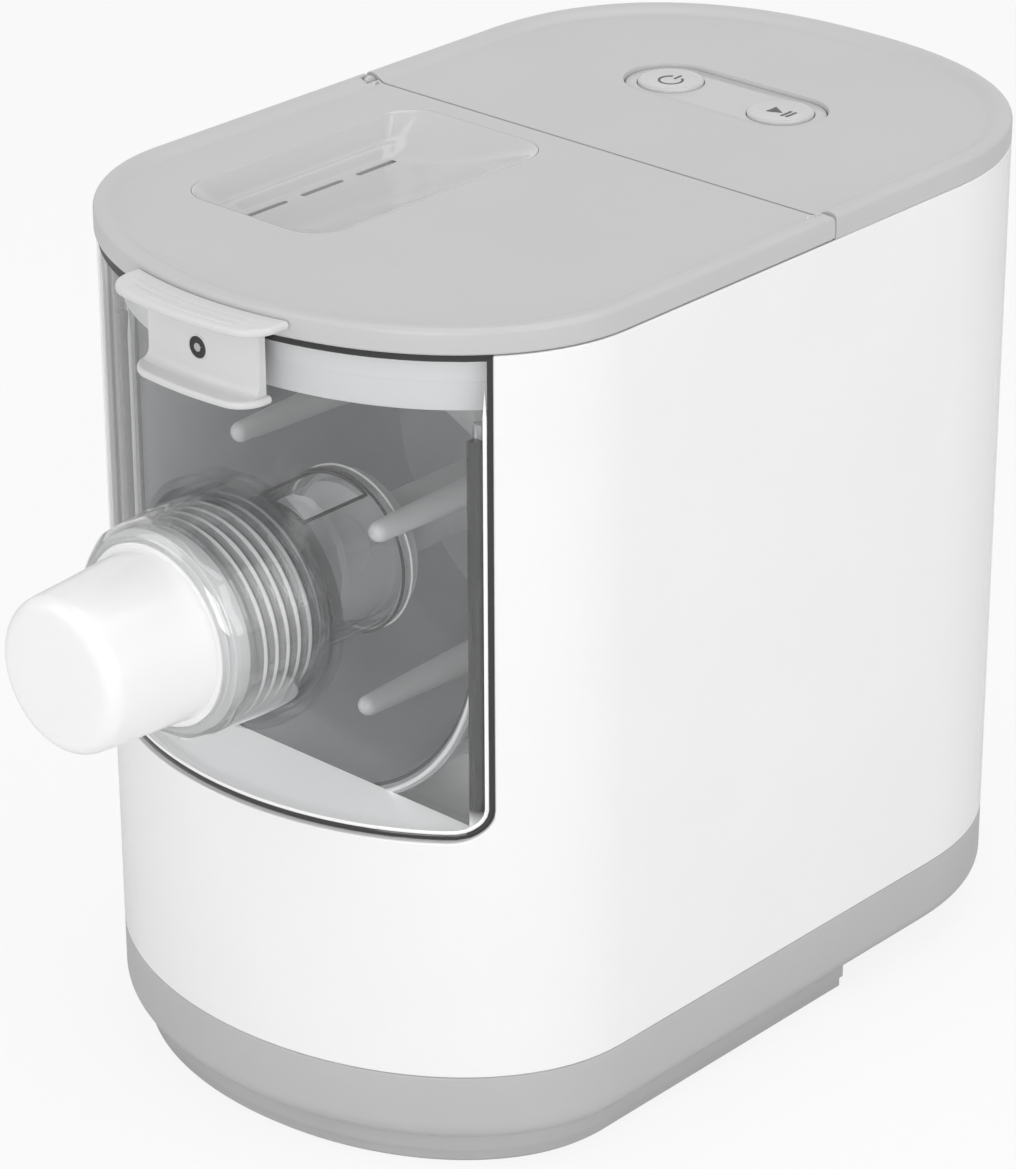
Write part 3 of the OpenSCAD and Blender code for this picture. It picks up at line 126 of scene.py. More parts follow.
def rounded_loop(x0, x1, y0, y1, r, steps=10):
    """Rectangle with quarter-circle corners, counterclockwise."""
    turn = np.linspace(0, np.pi / 2, steps + 1)
    spots = [(x1 - r, y1 - r), (x0 + r, y1 - r), (x0 + r, y0 + r), (x1 - r, y0 + r)]
    return np.concatenate([np.stack([cx + r * np.cos(turn + k * np.pi / 2),
                                     cy + r * np.sin(turn + k * np.pi / 2)], 1)
                           for k, (cx, cy) in enumerate(spots)])


def stadium_loop(cx, cy, dx, r, steps=28):
    """Two half circles of radius r, dx to the left and right of the centre."""
    turn = np.linspace(-np.pi / 2, np.pi / 2, steps + 1)
    right = np.stack([cx + dx + r * np.cos(turn), cy + r * np.sin(turn)], 1)
    left = np.stack([cx - dx - r * np.cos(turn), cy - r * np.sin(turn)], 1)
    return np.concatenate([right, left])


def pad_outline(r):
    """Stadium round both buttons, with the given end radius."""
    return stadium_loop(0, PAD_Y, BUTTON_X, r)


def circle_loop(cx, cy, r, steps=48):
    """A circle, counterclockwise."""
    turn = np.arange(steps) * 2 * np.pi / steps
    return np.stack([cx + r * np.cos(turn), cy + r * np.sin(turn)], 1)


def quarter(x0, z0, x1, z1, steps=6):
    """Quarter ellipse from one profile point to another, leaving the first one upright."""
    turn = np.linspace(0, np.pi / 2, steps + 1)
    return [(x1 + (x0 - x1) * cos(t), z0 + (z1 - z0) * sin(t)) for t in turn]



# ---- surfaces ----

class Shape:
    """Gathers grids and flat plates in millimetres, then welds them into one mesh."""

    def __init__(self):
        self.points, self.faces, self.count = [], [], 0

    def take(self, points, faces):
        points = np.asarray(points, float)
        self.points.append(points)
        self.faces.extend((np.asarray(faces) + self.count).tolist())
        self.count += len(points)
        return self

    def grid(self, points, close_u=False, close_v=False, keep=None):
        """Quads between neighbouring rows and columns; keep is a mask of the quads wanted."""
        nu, nv = points.shape[:2]
        number = np.arange(nu * nv).reshape(nu, nv)
        if close_u:
            number = np.concatenate([number, number[:1]], 0)
        if close_v:
            number = np.concatenate([number, number[:, :1]], 1)
        quads = np.stack([number[:-1, :-1], number[1:, :-1], number[1:, 1:], number[:-1, 1:]], -1)
        quads = quads[keep] if keep is not None else quads.reshape(-1, 4)
        return self.take(points.reshape(-1, 3), quads)

    def plate(self, loops, level, axis=2):
        """Flat plate between an outer loop and its holes, square to an axis at one level."""
        flat = [[Vector((p[0], p[1], 0)) for p in loop] for loop in loops]
        corners = np.concatenate([at_level(loop, level, axis) for loop in loops])
        return self.take(corners, [list(t) for t in tessellate_polygon(flat)])


def at_level(loop, level, axis=2):
    """Lifts a flat loop to a level along an axis (0, 1 or 2 for x, y or z)."""
    return np.insert(np.asarray(loop, float), axis, float(level), axis=1)


def lofted(rows, axis=2):
    """Joins flat loops of the same length, each lifted to its own level."""
    return np.stack([at_level(loop, level, axis) for loop, level in rows], 1)



def swept(run, profile):
    """Carries (inset, height) pairs along a run: the run at each inset, lifted to its height."""
    return lofted([(run(inset), z) for inset, z in profile])


def about_axis(radius, depth, turn):
    """Points about the extruder's axis: x = r cos t, y = depth, z = axis height + r sin t."""
    radius, depth, turn = np.broadcast_arrays(radius, depth, turn)
    return np.stack([radius * np.cos(turn), depth, AXIS_Z + radius * np.sin(turn)], -1)


def turned(profile, steps=96, z=AXIS_Z):
    """Turns (radius, y) pairs about an axis along y: x = r cos t, z = height + r sin t."""
    radius, depth = np.asarray(profile, float).T
    turn = np.arange(steps) * 2 * np.pi / steps
    return about_axis(radius[None], depth[None], turn[:, None]) + [0, 0, z - AXIS_Z]



def upright(profile, cx, cy, steps=64):
    """Turns (radius, z) pairs about an upright axis at (cx, cy)."""
    radius, height = np.asarray(profile, float).T
    turn = np.arange(steps) * 2 * np.pi / steps
    return np.stack([cx + radius[None] * np.cos(turn)[:, None],
                     cy + radius[None] * np.sin(turn)[:, None],
                     np.broadcast_to(height, (steps, len(height)))], -1)


def bead(path, away, radius, sides=8, flat=1.0, closed=True):
    """Round section carried along a path; its frame leans on the given outward directions."""
    ahead, behind = np.roll(path, -1, 0), np.roll(path, 1, 0)
    along = ahead - behind
    if not closed:
        along[0], along[-1] = path[1] - path[0], path[-1] - path[-2]
    along /= np.linalg.norm(along, axis=1)[:, None]
    side = np.cross(along, away)
    side /= np.linalg.norm(side, axis=1)[:, None]
    out = np.cross(side, along)
    turn = (np.arange(sides) + 0.5) * 2 * np.pi / sides
    size = np.full(len(path), float(radius))
    if not closed:
        size[[0, -1]] = radius * 0.02
    return (path[:, None] + size[:, None, None]
            * (side[:, None] * np.cos(turn)[None, :, None]
               + flat * out[:, None] * np.sin(turn)[None, :, None]))


def piece(name, shape, body, finish, stands_for=(), thick=0.0, edge=0.0,
          centre=(0, 0, 120), crease=32, edge_angle=30):
    """Welds the shape, turns its faces outwards, adds its wall and its rounded edges."""
    mesh = bpy.data.meshes.new(name)
    mesh.from_pydata((np.concatenate(shape.points) * MM).tolist(), [], shape.faces)
    form = bmesh.new()
    form.from_mesh(mesh)
    bmesh.ops.remove_doubles(form, verts=form.verts, dist=2e-6)
    bmesh.ops.dissolve_degenerate(form, edges=form.edges, dist=1e-6)
    bmesh.ops.recalc_face_normals(form, faces=form.faces)
    middle = Vector(centre) * MM
    if sum((f.calc_center_median() - middle).dot(f.normal) * f.calc_area() for f in form.faces) < 0:
        bmesh.ops.reverse_faces(form, faces=form.faces)
    form.to_mesh(mesh)
    form.free()
    mesh.shade_smooth()
    mesh.set_sharp_from_angle(angle=radians(crease))
    thing = bpy.data.objects.new(name, mesh)
    bpy.context.scene.collection.objects.link(thing)
    if thick:
        wall = thing.modifiers.new("wall", "SOLIDIFY")
        wall.thickness = thick * MM
        wall.offset = -1
        wall.use_even_offset = True
    if edge:
        soft = thing.modifiers.new("edge", "BEVEL")
        soft.width = edge * MM
        soft.segments = 2
        soft.limit_method = "ANGLE"
        soft.angle_limit = radians(edge_angle)
        soft.harden_normals = True
    mesh.materials.append(finish)
    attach(thing, body)
    if stands_for:
        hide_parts(*stands_for)
    return thing


# ---- shader maths and nodes ----

class Wire:
    """A socket of a material's nodes; its sums and products add Math nodes."""

    def __init__(self, finish, socket):
        self.finish, self.socket = finish, socket

    def maths(self, operation, *values):
        return self.finish.node("ShaderNodeMath", {"operation": operation},
                                dict(enumerate(values))).out(0)

    def __add__(self, other): return self.maths("ADD", self, other)
    def __radd__(self, other): return self.maths("ADD", other, self)
    def __sub__(self, other): return self.maths("SUBTRACT", self, other)
    def __rsub__(self, other): return self.maths("SUBTRACT", other, self)
    def __mul__(self, other): return self.maths("MULTIPLY", self, other)
    def __rmul__(self, other): return self.maths("MULTIPLY", other, self)
    def __pow__(self, other): return self.maths("POWER", self, other)


class Placed:
    """A node that is in place, with its outputs as wires."""

    def __init__(self, finish, node):
        self.finish, self.node = finish, node

    def out(self, name=0):
        return Wire(self.finish, self.node.outputs[name])


class Finish:
    """A material made of nodes."""

    def __init__(self, name):
        self.material = bpy.data.materials.new(name)
        self.material.use_nodes = True
        self.tree = self.material.node_tree
        self.tree.nodes.clear()
        self.end = self.tree.nodes.new("ShaderNodeOutputMaterial")

    def node(self, kind, settings=None, inputs=None):
        """Adds a node: its settings first, then the values or wires of its sockets."""
        made = self.tree.nodes.new(kind)
        for name, value in (settings or {}).items():
            setattr(made, name, value)
        for name, value in (inputs or {}).items():
            if isinstance(value, Wire):
                self.tree.links.new(value.socket, made.inputs[name])
            else:
                made.inputs[name].default_value = value
        return Placed(self, made)

    def finish(self, shader):
        self.tree.links.new(shader.out(0).socket, self.end.inputs["Surface"])
        return self.material

    # Patterns read Object coordinates, in metres.
    def place(self, scale=(1, 1, 1)):
        where = self.node("ShaderNodeTexCoord").out("Object")
        return self.node("ShaderNodeMapping", {}, {"Vector": where, "Scale": scale}).out(0)

    def noise(self, size, detail=3.0, rough=0.5, where=None):
        """Noise with blotches of about the given size in millimetres, 0 to 1."""
        return self.node("ShaderNodeTexNoise", {"noise_dimensions": "3D"},
                         {"Vector": where or self.place(), "Scale": 1000.0 / size,
                          "Detail": detail, "Roughness": rough}).out("Fac")

    def mix(self, amount, first, second):
        return self.node("ShaderNodeMix", {"data_type": "RGBA"},
                         {0: amount, 6: first, 7: second}).out(2)

    def spread(self, value, low, high, new_low=0.0, new_high=1.0):
        return self.node("ShaderNodeMapRange", {"clamp": True},
                         {"Value": value, "From Min": low, "From Max": high,
                          "To Min": new_low, "To Max": new_high}).out(0)

    def blend(self, amount, first, second):
        return self.node("ShaderNodeMixShader", {}, {0: amount, 1: first.out(0), 2: second.out(0)})

    def slant(self):
        """How far the surface leans away from the eye, 0 to 1."""
        return self.node("ShaderNodeLayerWeight", {}, {"Blend": 0.35}).out("Facing")

    def shine(self):
        """Share of light mirrored by plastic in air, the same on both faces of a thin sheet."""
        inside = self.node("ShaderNodeNewGeometry", {}, {}).out("Backfacing")
        return self.node("ShaderNodeFresnel", {}, {"IOR": 1.49 + inside * (1 / 1.49 - 1.49)}).out(0)

    def see_through(self, colour):
        return self.node("ShaderNodeBsdfTransparent", {}, {"Color": colour})

    def bump(self, height, strength, depth):
        return self.node("ShaderNodeBump", {}, {"Height": height, "Strength": strength,
                                                "Distance": depth}).out(0)


def grey(value, warm=0.0):
    """A near-neutral colour from its screen value of 0 to 255."""
    s = value / 255.0
    lin = s / 12.92 if s <= 0.04045 else ((s + 0.055) / 1.055) ** 2.4
    return (lin * (1 + warm), lin, lin * (1 - warm), 1.0)


def shade(colour, factor):
    return (colour[0] * factor, colour[1] * factor, colour[2] * factor, 1.0)


def moulded(name, colour, rough, grain=0.6, depth=0.00002, strength=0.25, mottle=0.03,
            coat=0.0, coat_rough=0.1, through=0.0):
    """Injection-moulded plastic: fine grain, faint flow mottling, rubbed spots in the gloss."""
    f = Finish(name)
    flow = f.noise(38, 2.0, 0.4)
    fine = f.noise(grain, 2.0, 0.6)
    rubbed = f.noise(9, 4.0, 0.6)
    base = f.mix(f.spread(flow, 0.3, 0.7), shade(colour, 1 - mottle), shade(colour, 1 + mottle))
    gloss = rough * (0.85 + 0.3 * rubbed) + 0.03 * (fine - 0.5)
    inputs = {"Base Color": base, "Roughness": gloss,
              "Normal": f.bump(fine, strength, depth), "IOR": 1.5,
              "Coat Weight": coat, "Coat Roughness": coat_rough}
    if through:
        inputs["Subsurface Weight"] = through
        inputs["Subsurface Radius"] = (1.0, 1.0, 1.0)
        inputs["Subsurface Scale"] = 0.002
    return f.finish(f.node("ShaderNodeBsdfPrincipled", {}, inputs))


def clear_sheet(name, tint, slant_shade_tint, haze=0.02, rough=0.05, flow=22.0, slant_power=1.0):
    """Thin clear plastic: see-through, with a grey body tint and a gloss that grows at a slant; the
    darker see-through tint at a slant is painted shade, standing in for the dark edges refraction
    gives.
    """
    f = Finish(name)
    slant = f.slant() ** slant_power
    wave = f.noise(flow, 2.0, 0.4)
    lean = f.bump(wave, 0.15, 0.0006)
    # Painted shade: the see-through colour darkens at a slant.
    body = f.blend(slant, f.see_through(tint), f.see_through(slant_shade_tint))
    gloss = f.node("ShaderNodeBsdfGlossy", {}, {"Color": (1, 1, 1, 1),
                                               "Roughness": rough + 0.04 * wave, "Normal": lean})
    scatter = f.node("ShaderNodeBsdfDiffuse", {}, {"Color": (0.85, 0.86, 0.87, 1)})
    return f.finish(f.blend(f.shine(), f.blend(haze + haze * wave, body, scatter), gloss))


def clear_thread(name, tint, slant_shade_tint):
    """Clear plastic over a thread: bright and dark lines, painted highlights and painted shade,
    wind round it with a 4 mm pitch; it also darkens at a slant as painted shade.
    """
    f = Finish(name)
    parts = f.node("ShaderNodeSeparateXYZ", {}, {"Vector": f.place()})
    x, y, z = (parts.out(axis) for axis in ("X", "Y", "Z"))
    wind = f.node("ShaderNodeMath", {"operation": "ARCTAN2"}, {0: z - AXIS_Z * MM, 1: x}).out(0)
    phase = y * (2 * np.pi / (THREAD_PITCH * MM)) + wind
    crest = f.node("ShaderNodeMath", {"operation": "COSINE"}, {0: phase}).out(0)
    valley_shade = f.node("ShaderNodeMath", {"operation": "COSINE"}, {0: phase - 1.5}).out(0)
    radius = (x * x + (z - AXIS_Z * MM) ** 2) ** 0.5
    # The lines lie between y = -141 and -121 mm, on the faces within 29 mm of the axis.
    behind = (f.spread(y, -0.1425, -0.1405) * f.spread(y, -0.1200, -0.1210)
              * f.spread(radius, 0.0292, 0.0289))
    wave = f.noise(16, 2.0, 0.4)
    body = f.blend(f.slant() ** 1.6, f.see_through(tint), f.see_through(slant_shade_tint))
    # Painted shade: dark see-through lines in the thread's valleys.
    body = f.blend(f.spread(valley_shade, 0.1, 0.7) * behind * 0.95, body,
                   f.see_through((0.12, 0.125, 0.13, 1)))
    # Painted highlight: white lines on the thread's crests.
    white = f.node("ShaderNodeBsdfDiffuse", {}, {"Color": (0.92, 0.925, 0.93, 1)})
    line = f.spread(crest, 0.35, 0.75) * behind * 0.95 + 0.05 + 0.07 * wave
    gloss = f.node("ShaderNodeBsdfGlossy", {}, {"Color": (1, 1, 1, 1),
                                               "Roughness": 0.03 + 0.04 * wave,
                                               "Normal": f.bump(wave, 0.12, 0.0006)})
    return f.finish(f.blend(f.shine() * 2.4, f.blend(line, body, white), gloss))


def metal(name, colour, rough, stretch=(1, 1, 1), grain=0.5, strength=0.3, depth=0.00002):
    """Metal with drawn or turned tool marks: noise stretched along one direction."""
    f = Finish(name)
    marks = f.noise(grain, 3.0, 0.6, f.place(stretch))
    dull = f.noise(7, 4.0, 0.6)
    return f.finish(f.node("ShaderNodeBsdfPrincipled", {}, {
        "Base Color": f.mix(dull, shade(colour, 0.86), colour),
        "Roughness": rough * (0.7 + 0.6 * marks) + 0.06 * dull, "Metallic": 1.0,
        "Normal": f.bump(marks, strength, depth)}))


def coated_board(name, mask_colour, track_colour):
    """Circuit board: a lacquer over tracks, drawn as the rounded ridges of a stepped noise."""
    f = Finish(name)
    cells = f.node("ShaderNodeTexVoronoi", {"feature": "DISTANCE_TO_EDGE", "distance": "EUCLIDEAN"},
                   {"Vector": f.place(), "Scale": 260.0}).out("Distance")
    track = f.spread(cells, 0.05, 0.09, 1.0, 0.0)
    weave = f.noise(1.2, 2.0, 0.5)
    return f.finish(f.node("ShaderNodeBsdfPrincipled", {}, {
        "Base Color": f.mix(track, mask_colour, track_colour),
        "Roughness": 0.28 + 0.2 * weave, "Normal": f.bump(track, 0.4, 0.00004),
        "Coat Weight": 0.4, "Coat Roughness": 0.12}))


def ledge_glow_and_post_shade():
    """Light plastic with a painted glow on the ledge; over the window's lower edge it turns to
    painted shade, a dark streaked colour with a clear coat, for a shaded clear look on the posts.
    """
    f = Finish("frame_glow_and_shade")
    height = f.node("ShaderNodeSeparateXYZ", {}, {"Vector": f.place()}).out("Z")
    post = f.spread(height, 0.104, 0.108)
    streak = f.noise(2.2, 3.0, 0.6, f.place((1, 1, 0.04)))
    # Painted shade: a near-black streaked colour on the posts, standing in for the dark seen beside
    # the window.
    dark = f.mix(f.spread(streak, 0.45, 0.62), grey(20), grey(58))
    return f.finish(f.node("ShaderNodeBsdfPrincipled", {}, {
        "Base Color": f.mix(post, grey(240), dark), "Roughness": 0.28 - 0.14 * post,
        "Coat Weight": 0.5 * post,
        # Painted glow: the ledge below the posts emits a fixed grey, standing in for light reaching
        # it through the pane.
        "Emission Color": f.mix(post, (0.36, 0.36, 0.36, 1), (0, 0, 0, 1)),
        "Emission Strength": 1.0}))


WHITE = moulded("gloss_white", grey(244), 0.17, grain=0.9, depth=0.000008, strength=0.12,
                mottle=0.008, coat=0.35, coat_rough=0.05)
TOP_GREY = moulded("satin_grey", grey(196), 0.36, grain=0.35, depth=0.00002, strength=0.3,
                   mottle=0.012)
SCOOP_GREY = moulded("scoop_gloss_grey", grey(198), 0.13, grain=1.2, depth=0.00001, strength=0.1,
                     mottle=0.012, coat=0.5, coat_rough=0.04)
BASE_GREY = moulded("matt_base_grey", grey(186), 0.5, grain=0.3, depth=0.00003, strength=0.4,
                    mottle=0.015)
PLINTH_GREY = moulded("plinth_grey", grey(178), 0.55, grain=0.3, depth=0.00003, strength=0.4)
RUBBER = moulded("foot_rubber", grey(52), 0.75, grain=0.25, depth=0.00006, strength=0.6,
                 mottle=0.12)
INNER_WHITE = moulded("inner_white", grey(244), 0.32, grain=0.5, depth=0.00002, mottle=0.015)
SKIRT_GREY = moulded("skirt_grey", grey(232), 0.34, grain=0.4, depth=0.00002, mottle=0.012)
SILICONE = moulded("silicone_grey", grey(168), 0.62, grain=0.5, depth=0.00003, mottle=0.03)
HANDLE_GREY = moulded("handle_grey", grey(214), 0.3, grain=0.35, depth=0.00002, strength=0.25,
                      mottle=0.01)
PAD_GREY = moulded("pad_grey", grey(200), 0.3, grain=0.35, depth=0.00002, mottle=0.01)
BUTTON_GREY = moulded("button_grey", grey(200), 0.22, grain=0.6, depth=0.00001, mottle=0.01,
                      coat=0.3, coat_rough=0.08)
INK = moulded("icon_ink", grey(74), 0.45, grain=0.2, depth=0.00001, mottle=0.1)
# Black plastic of the switches, fan, motor cap and inlet; also laid as painted shade on the strip
# under the lid's rim and in the screw's well.
BLACK = moulded("black_plastic", grey(38), 0.42, grain=0.3, depth=0.00003, mottle=0.1)
FOOD_WHITE = moulded("food_white", grey(240), 0.3, grain=0.5, depth=0.00002, mottle=0.01,
                     through=0.15)
CAP_WHITE = moulded("cap_white", grey(246), 0.24, grain=0.8, depth=0.00001, mottle=0.006,
                    coat=0.2, coat_rough=0.1, through=0.1)
DIE_WHITE = moulded("die_white", grey(236), 0.34, grain=0.4, depth=0.00002, mottle=0.015)
CASE_PLASTIC = moulded("case_plastic", grey(120), 0.48, grain=0.3, depth=0.00003, mottle=0.05)
GEAR_PLASTIC = moulded("gear_plastic", grey(222, 0.03), 0.38, grain=0.4, depth=0.00002,
                       mottle=0.03)
STEEL = metal("drawn_steel", (0.62, 0.62, 0.63, 1), 0.24, (1, 0.05, 1))
MOTOR_STEEL = metal("plated_steel", (0.52, 0.53, 0.55, 1), 0.34, (1, 0.1, 1), 0.8)
ALUMINIUM = metal("brushed_aluminium", (0.72, 0.73, 0.74, 1), 0.3, (0.04, 1, 1), 0.4)
BRASS = metal("turned_brass", (0.75, 0.58, 0.3, 1), 0.28, (1, 4, 1), 0.6)
BOARD = coated_board("board_green", (0.02, 0.12, 0.05, 1), (0.05, 0.26, 0.1, 1))
PANE = clear_sheet("clear_pane", (0.975, 0.977, 0.98, 1), (0.93, 0.933, 0.936, 1), haze=0.012)
BOWL_CLEAR = clear_sheet("clear_bowl", (0.975, 0.98, 0.985, 1), (0.8, 0.805, 0.81, 1), haze=0.25,
                         rough=0.06, flow=30.0, slant_power=2.0)
BARREL_CLEAR = clear_sheet("clear_barrel", (0.975, 0.978, 0.982, 1), (0.22, 0.225, 0.23, 1),
                           haze=0.05, rough=0.04, flow=16.0, slant_power=2.2)
NUT_CLEAR = clear_thread("clear_nut", (0.985, 0.987, 0.99, 1), (0.16, 0.165, 0.17, 1))
# Painted highlight: a near-white glossy finish for thin beads where the rounded edges of clear
# parts catch light.
EDGE_HIGHLIGHT = moulded("painted_highlight_edge", grey(250), 0.12, grain=1.5, depth=0.00001, strength=0.1,
                     mottle=0.01, coat=0.6, coat_rough=0.03)
# Painted shade: a dark glossy finish for thin strips and beads where gaps, laps and the edges of
# clear parts look dark.
EDGE_DARK = moulded("shaded_edge", grey(36), 0.16, grain=1.5, depth=0.00001, strength=0.1,
                    mottle=0.15, coat=0.5, coat_rough=0.05)

# ---- finishes of the solids that stay ----
NODE_FINISH = {
    "plinth_screws": STEEL, "rear_feet": RUBBER, "front_feet": RUBBER, "chassis": INNER_WHITE,
    "front_frame": ledge_glow_and_post_shade(), "bowl_feet": RUBBER, "shaft_seal": SILICONE,
    "lid_seal": SILICONE, "hinge_pins": STEEL, "handle_screw": STEEL, "panel_screws": STEEL,
    "control_board": BOARD, "tact_switches": BLACK, "lid_switch": BLACK, "auger": FOOD_WHITE,
    "drive_shaft": STEEL, "die": DIE_WHITE, "gear_plate": ALUMINIUM, "gear_case": CASE_PLASTIC,
    "case_screws": STEEL, "front_bush": BRASS, "rear_bush": BRASS, "output_gear": GEAR_PLASTIC,
    "idler_gear": GEAR_PLASTIC, "idler_pin": STEEL, "motor_pinion": BRASS, "motor_shaft": STEEL,
    "motor_fan": BLACK, "motor_can": MOTOR_STEEL, "motor_cap": BLACK, "motor_screws": STEEL,
    "power_board": BOARD, "board_screws": STEEL, "power_inlet": BLACK, "inlet_pins": STEEL,
    "body_shell": WHITE, "base_pan": BASE_GREY, "plinth": PLINTH_GREY, "window": PANE,
    "mixing_bowl": BOWL_CLEAR, "lid": TOP_GREY, "lid_skirt": SKIRT_GREY,
    "lid_handle": HANDLE_GREY, "rear_panel": TOP_GREY, "control_pad": PAD_GREY,
    "power_button": BUTTON_GREY, "start_button": BUTTON_GREY, "barrel": BARREL_CLEAR,
    "paddle": FOOD_WHITE, "nut": NUT_CLEAR, "cap": CAP_WHITE,
}
for thing in bpy.data.objects:
    if thing.type == "MESH" and thing.name in NODE_FINISH:
        thing.data.materials.clear()
        thing.data.materials.append(NODE_FINISH[thing.name])


# ---- white shell ----

def shell_columns():
    """x and y down the outline, with close columns where the window's corners are."""
    corner = WINDOW_X - WINDOW_R + WINDOW_R * np.sin(np.radians(np.linspace(0, 90, 10)))
    edge = np.arccos(WINDOW_X / HALF_W)
    outer = HALF_W * np.cos(np.linspace(0, edge, 10)[:-1])
    middle = np.linspace(0, WINDOW_X - WINDOW_R, 30)[:-1]
    right = np.concatenate([middle, corner, outer[::-1]])
    x = np.concatenate([-right[:0:-1], right])
    front = np.stack([x, front_wall_y(x)], 1)
    rx = half_oval(HALF_W, REAR_DEPTH, REAR_POWER, np.linspace(0, np.pi, 97))[0]
    near = np.abs(rx) < INLET_HALF_W + 3
    extra = np.array([INLET_HALF_W, 6, 0, -6, -INLET_HALF_W])
    ex = np.sort(np.concatenate([rx[~near], extra]))[::-1]
    ey = REAR_DEPTH * (1 - np.abs(ex / HALF_W) ** REAR_POWER) ** (1 / REAR_POWER)
    side = side_steps(-HALF_STRAIGHT, HALF_STRAIGHT)[1:-1]
    return np.concatenate([front, np.stack([0 * side + HALF_W, side], 1),
                           np.stack([ex, ey + HALF_STRAIGHT], 1),
                           np.stack([0 * side - HALF_W, side[::-1]], 1)])


def white_shell():
    """Upright wall over the outline; in front it stops at the window's rounded lower edge."""
    xy = shell_columns()
    x, y = xy.T
    over = np.clip(np.abs(x) - (WINDOW_X - WINDOW_R), 0, WINDOW_R)
    sill = WINDOW_Z + WINDOW_R - np.sqrt(np.clip(WINDOW_R ** 2 - over ** 2, 0, None))
    sill = np.where(y < -HALF_STRAIGHT, sill, WINDOW_Z + WINDOW_R)
    low = np.array([BASE_TOP, INLET_Z - INLET_HALF_H, INLET_Z + INLET_HALF_H, 74, 88])
    under = low[None] + 0 * x[:, None]
    upper = np.linspace(0, 1, 8)[None] * (SHELL_TOP - WINDOW_Z - WINDOW_R) + WINDOW_Z + WINDOW_R
    z = np.concatenate([under, sill[:, None], np.broadcast_to(upper, (len(x), 8))[:, 1:]], 1)
    points = np.stack([np.broadcast_to(x[:, None], z.shape),
                       np.broadcast_to(y[:, None], z.shape), z], -1)
    n, m = z.shape
    middle, depth = (x + np.roll(x, -1)) / 2, (y + np.roll(y, -1)) / 2
    in_front = depth < -HALF_STRAIGHT - 1
    keep = np.ones((n, m - 1), bool)
    keep[(np.abs(middle) < WINDOW_X) & in_front, 5:] = False
    at_inlet = (np.abs(middle) < INLET_HALF_W + 0.1) & (depth > HALF_STRAIGHT)
    keep[at_inlet, 1] = False
    shape = Shape().grid(points, close_u=True, keep=keep)
    return piece("white_shell", shape, "housing", WHITE, ["body_shell"], thick=SHELL_T, edge=0.5)


# ---- base ----

VENT_PITCH, VENT_HALF_W, VENT_COUNT = 7, 1.5, 9


def base_skirt():
    """Sweep round the outline: upright band, quarter-round lower edge, flat underside."""
    profile = ([(2.9, BASE_TOP - 0.1), (0.6, BASE_TOP - 0.1)]
               + quarter(0.0, BASE_TOP - 0.7, 0.6, BASE_TOP - 0.1, 4)[::-1][1:]
               + [(0.0, 24.0)]
               + [(BASE_ROUND * (1 - cos(t)), BASE_BOTTOM + BASE_ROUND * (1 - sin(t)))
                  for t in np.linspace(0, np.pi / 2, 12)])
    shape = Shape().grid(swept(whole_run, profile), close_u=True)
    middles = VENT_PITCH * (np.arange(VENT_COUNT) - VENT_COUNT // 2)
    vents = [rounded_loop(x - VENT_HALF_W, x + VENT_HALF_W, 62, 96, 1.4, 4) for x in middles]
    shape.plate([whole_run(BASE_ROUND)] + vents, BASE_BOTTOM)
    return piece("base_skirt", shape, "housing", BASE_GREY, ["base_pan"], thick=2.4, edge=0.25,
                 centre=(0, 0, 40))


def plinth_foot():
    """Sweep of the plinth's wall, closed at the rear, with pockets for pads and screws."""
    rear = 36.0

    def run(inset):
        return front_run(inset, rear)

    wall = [(7.5, 0.0), (6.3, 1.0), (6.3, 4.0), (5.1, 4.6), (5.1, BASE_BOTTOM)]
    shape = Shape().grid(swept(run, wall), close_u=True)
    pads = [(x, y, 8.1, 1.6) for x in (-44, 44) for y in (-92, 18)]
    screws = [(x, y, 3.5, 2.5) for x in (-56, 56) for y in (-70, 20)]
    shape.plate([run(7.5)] + [circle_loop(x, y, r) for x, y, r, deep in pads + screws], 0.0)
    shape.plate([run(5.1)], BASE_BOTTOM)
    for x, y, r, deep in pads + screws:
        shape.grid(upright([(r, 0.0), (r, deep), (0.0, deep)], x, y, 48), close_u=True)
    return piece("plinth_foot", shape, "housing", PLINTH_GREY, ["plinth"],
                 centre=(0, -40, 5))


# ---- top: lid and rear panel ----

def rim_profile(low):
    """Band, rounded outer edge, crest and the soft slope down to the dished deck."""
    r = 1.7
    crest = [(r - r * cos(t), TOTAL_H - r + r * sin(t)) for t in np.linspace(0, np.pi / 2, 7)]
    slope = [(2.6 + 5.2 * s, TOTAL_H - (TOTAL_H - DECK_Z) * (3 * s ** 2 - 2 * s ** 3))
             for s in np.linspace(0, 1, 9)]
    return [(0.45, low), (0.0, low + 0.5), (0.0, 240.0)] + crest + slope


DECK_INSET = 7.8
SCOOP = (-60.0, -6.0, -83.0, 8.0, 11.0)
SCOOP_DEPTH, SCOOP_WALL = 9.6, 1.7
SLOT_X, SLOT_Y = -50.0, (-59.0, -37.5, -16.0)


def scoop_rings():
    """Ruled hollow: for each outward direction the rim's point is joined to the floor's."""
    x0, x1, y0, y1, r = SCOOP
    turn = np.radians(np.linspace(0, 90, 13))
    top_spots = [(x1 - r, y1 - r), (x0 + r, y1 - r), (x0 + r, y0 + r), (x1 - r, y0 + r)]
    low_y1, low_y0 = y1 - r - 9, y0 + r + 9
    low_spots = [(SLOT_X, low_y1), (SLOT_X, low_y1), (SLOT_X, low_y0), (SLOT_X, low_y0)]
    top, low = [], []
    for k in range(4):
        way = np.stack([np.cos(turn + k * np.pi / 2), np.sin(turn + k * np.pi / 2)], 1)
        top.append(np.array(top_spots[k]) + r * way)
        low.append(np.array(low_spots[k]) + 3.0 * way)
    return np.concatenate(top), np.concatenate(low)


